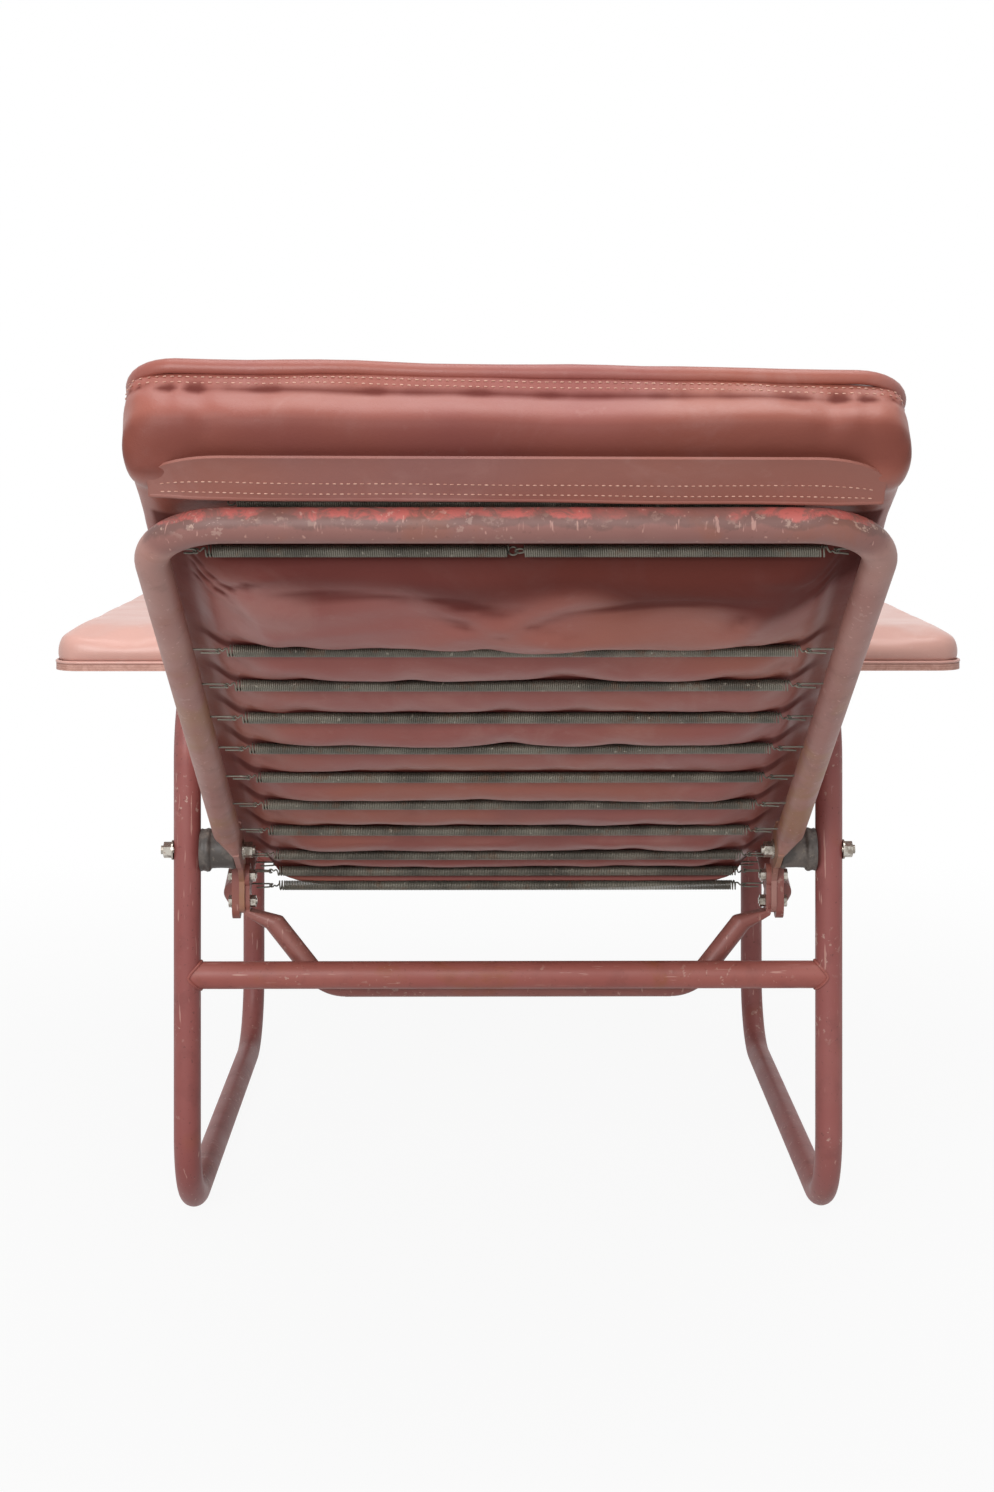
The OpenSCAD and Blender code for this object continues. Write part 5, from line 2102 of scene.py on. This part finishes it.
@dataclass
class Studio:
    """A plain pale floor, soft lamps and the camera behind the chair."""

    spot: Vector = field(default_factory=lambda: Vector((-0.0230, -2.2679, 0.745)))
    turn: float = -0.34
    lens: float = 54.9
    shift: float = -0.2158
    air: float = 0.29
    floor_half: float = 14.0

    def build(self) -> None:
        """Sets up the whole studio."""
        self.camera()
        self.world()
        self.floor()
        self.lamps()
        scene = bpy.context.scene
        scene.view_settings.view_transform = "Standard"

    def camera(self) -> None:
        """The level camera, with the frame shifted down to the chair."""
        data = bpy.data.cameras.new("view")
        data.lens = self.lens
        data.sensor_width = 36.0
        data.sensor_fit = "AUTO"
        data.shift_y = self.shift
        data.clip_end = 60.0
        view = linked("view", data)
        view.location = self.spot
        view.rotation_euler = (math.radians(90), 0, math.radians(self.turn))
        bpy.context.scene.camera = view

    @staticmethod
    def seen_white(sheet: NodeSheet, output: str, lit: Socket, white: Socket) -> None:
        """Ends a tree in plain white for rays that see the studio itself.

        Args:
            sheet: The node tree.
            output: Kind of its output node.
            lit: The shader that lights the chair.
            white: The white shader.
        """
        path = sheet.add("ShaderNodeLightPath").outputs
        seen = path["Is Camera Ray"]
        for ray in ("Is Glossy Ray", "Is Transmission Ray"):
            seen = sheet.math("MAXIMUM", seen, path[ray])
        mixed = sheet.put("ShaderNodeMixShader", 0, {0: seen, 1: lit, 2: white})
        sheet.feed(sheet.add(output), {"Surface": mixed})

    def world(self) -> None:
        """White surroundings that light the chair only gently."""
        world = bpy.data.worlds.new("studio_air")
        bpy.context.scene.world = world
        world.use_nodes = True
        sheet = NodeSheet(world.node_tree)
        dim, bright = (sheet.put("ShaderNodeBackground", 0, {"Color": WHITE, "Strength": strength})
                       for strength in (self.air, 1.0))
        self.seen_white(sheet, "ShaderNodeOutputWorld", dim, bright)

    def floor(self) -> None:
        """A wide pale floor that keeps the chair's soft shadow near it and glows white far away."""
        shape = bmesh.new()
        bmesh.ops.create_grid(shape, x_segments=1, y_segments=1, size=self.floor_half)
        floor = linked("studio_floor", mesh_of("studio_floor", shape))
        material = bpy.data.materials.new("studio_floor")
        material.use_nodes = True
        sheet = NodeSheet(material.node_tree)
        matt = sheet.put("ShaderNodeBsdfDiffuse", 0, {"Color": (0.55, 0.55, 0.55, 1)})
        glow = sheet.put("ShaderNodeEmission", 0, {"Color": WHITE, "Strength": 1.0})
        spot = sheet.add("ShaderNodeTexCoord").outputs["Object"]
        reach = sheet.put("ShaderNodeVectorMath", "Value", {0: spot}, operation="LENGTH")
        share = sheet.ramp(reach, (0.7, 1.9), (0.93, 1.0))
        pale = sheet.put("ShaderNodeMixShader", 0, {0: share, 1: matt, 2: glow})
        self.seen_white(sheet, "ShaderNodeOutputMaterial", matt, pale)
        floor.data.materials.append(material)

    def lamps(self) -> None:
        """Two soft boxes: one overhead, one high behind the camera."""
        self.soft_box("overhead", Vector((0.15, -0.5, 3.2)), Vector((0, 0.1, 0.4)), size=2.2, power=54.0)
        self.soft_box("behind_camera", Vector((-0.95, -3.6, 1.8)), Vector((0, 0, 0.5)), size=1.8,
                      power=86.0)

    @staticmethod
    def soft_box(name: str, at: Vector, aim: Vector, size: float, power: float) -> None:
        """Hangs one square soft box.

        Args:
            name: Its name.
            at: Where it hangs.
            aim: What it points at.
            size: Its side in metres.
            power: Its power in watts.
        """
        data = bpy.data.lights.new(name, "AREA")
        data.shape = "SQUARE"
        data.size = size
        data.energy = power
        lamp = linked(name, data)
        lamp.location = at
        lamp.rotation_euler = (aim - at).to_track_quat("-Z", "Y").to_euler()


def mattresses(wardrobe: Wardrobe) -> list[Mattress]:
    """The three cushions, with their rows and ends.

    Args:
        wardrobe: The finishes.

    Returns:
        The cushions, not built yet.
    """
    rows_back = [58.0, *SpringRows.back_lines(), -SpringRows.head_u]
    rows_seat = [SpringRows.hip_front, *SpringRows.seat_lines()]
    rows_leg = SpringRows.leg_lines()
    cloth = {"material": wardrobe.vinyl, "thread": wardrobe.thread}
    hip, knee = math.tan(math.radians(24.25)), math.tan(math.radians(23.0))
    return [
        Mattress("back_cushion", PLANES.back(), rows_back, low_y=-700.0, high_y=81.05,
                 low_shear=0.0, high_shear=-hip, voxel=0.0065, **cloth, open_field=(-592.0, -446.0),
                 folds=field_folds() + row_end_folds(rows_back[2:9]), hip=HipSag(61.0, 74.0, 17.0)),
        Mattress("seat_cushion", PLANES.seat(), rows_seat, low_y=9.0, high_y=454.6,
                 low_shear=hip, high_shear=knee, voxel=0.008, **cloth,
                 folds=row_end_folds(rows_seat[2:]), hip=HipSag(34.0, 18.0, 15.0)),
        Mattress("leg_cushion", PLANES.leg(), rows_leg, low_y=0.4, high_y=420.0,
                 low_shear=-knee, high_shear=0.0, voxel=0.008, **cloth,
                 folds=row_end_folds(rows_leg[1:])),
    ]


def field_folds() -> list[Fold]:
    """Folds of the open field under the top bar: a cross in the middle and gathered corners.

    Returns:
        The folds.
    """
    folds = [
        Fold(-12, -520, 24, 95, 7.5, 3.4), Fold(-12, -520, -30, 80, 7.0, 3.0),
        Fold(30, -497, 8, 120, 8.0, 2.4), Fold(-120, -505, -6, 90, 8.0, 2.2),
        Fold(-90, -548, 4, 130, 9.0, -2.6), Fold(110, -540, -5, 130, 9.0, -3.2),
        Fold(-188, -520, 72, 60, 8.0, 3.6), Fold(176, -512, -64, 60, 9.0, 3.4),
    ]
    corner = ((205, -580, 58, 34, 5.0, 3.4), (190, -574, 30, 40, 5.0, 3.0),
              (198, -562, 44, 34, 5.0, -2.8), (170, -582, 12, 40, 5.5, 2.2))
    for side in (-1, 1):
        folds += [Fold(side * x, y, side * angle, *sizes) for x, y, angle, *sizes in corner]
    return folds


def row_end_folds(rows: Sequence[float]) -> list[Fold]:
    """Folds that pull at the ends of the spring rows.

    Args:
        rows: Where the rows are.

    Returns:
        Two folds at each end of each row, and a few longer ones.
    """
    folds = []
    for count, row in enumerate(rows):
        for side in (-1, 1):
            tilt = 24 + 14 * math.sin(count * 2.3 + side)
            folds.append(Fold(side * 196, row - 13, side * -tilt, 38, 4.6, 2.6))
            folds.append(Fold(side * 203, row + 14, side * tilt * 0.8, 32, 4.6, 2.2))
        reach = 190 * math.sin(count * 1.9 + 0.4)
        folds.append(Fold(reach, row - 19, 7 * math.sin(count * 3.1), 70, 6.0, 1.8))
        folds.append(Fold(-reach * 0.7, row + 22, 6 * math.cos(count * 2.7), 60, 6.0, -1.6))
    return folds


def main() -> None:
    logging.basicConfig(level=logging.INFO, format="%(name)s: %(message)s")
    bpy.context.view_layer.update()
    studio = Studio()
    studio.build()
    wardrobe = Wardrobe()
    wardrobe.dress()
    SpringRows(wardrobe.spring).build()
    for mattress in mattresses(wardrobe):
        mattress.build()
    HeadPocket(wardrobe.pocket, wardrobe.thread, PLANES.back()).build()
    for side in Side:
        ArmPad(side, wardrobe.arm).build()
        PivotBush(side, wardrobe.rubber).build()
        for bar in ("rear_crossbar", "front_crossbar"):
            WeldBead(bar, side, wardrobe.bar).build()


if __name__ == "__main__":
    main()
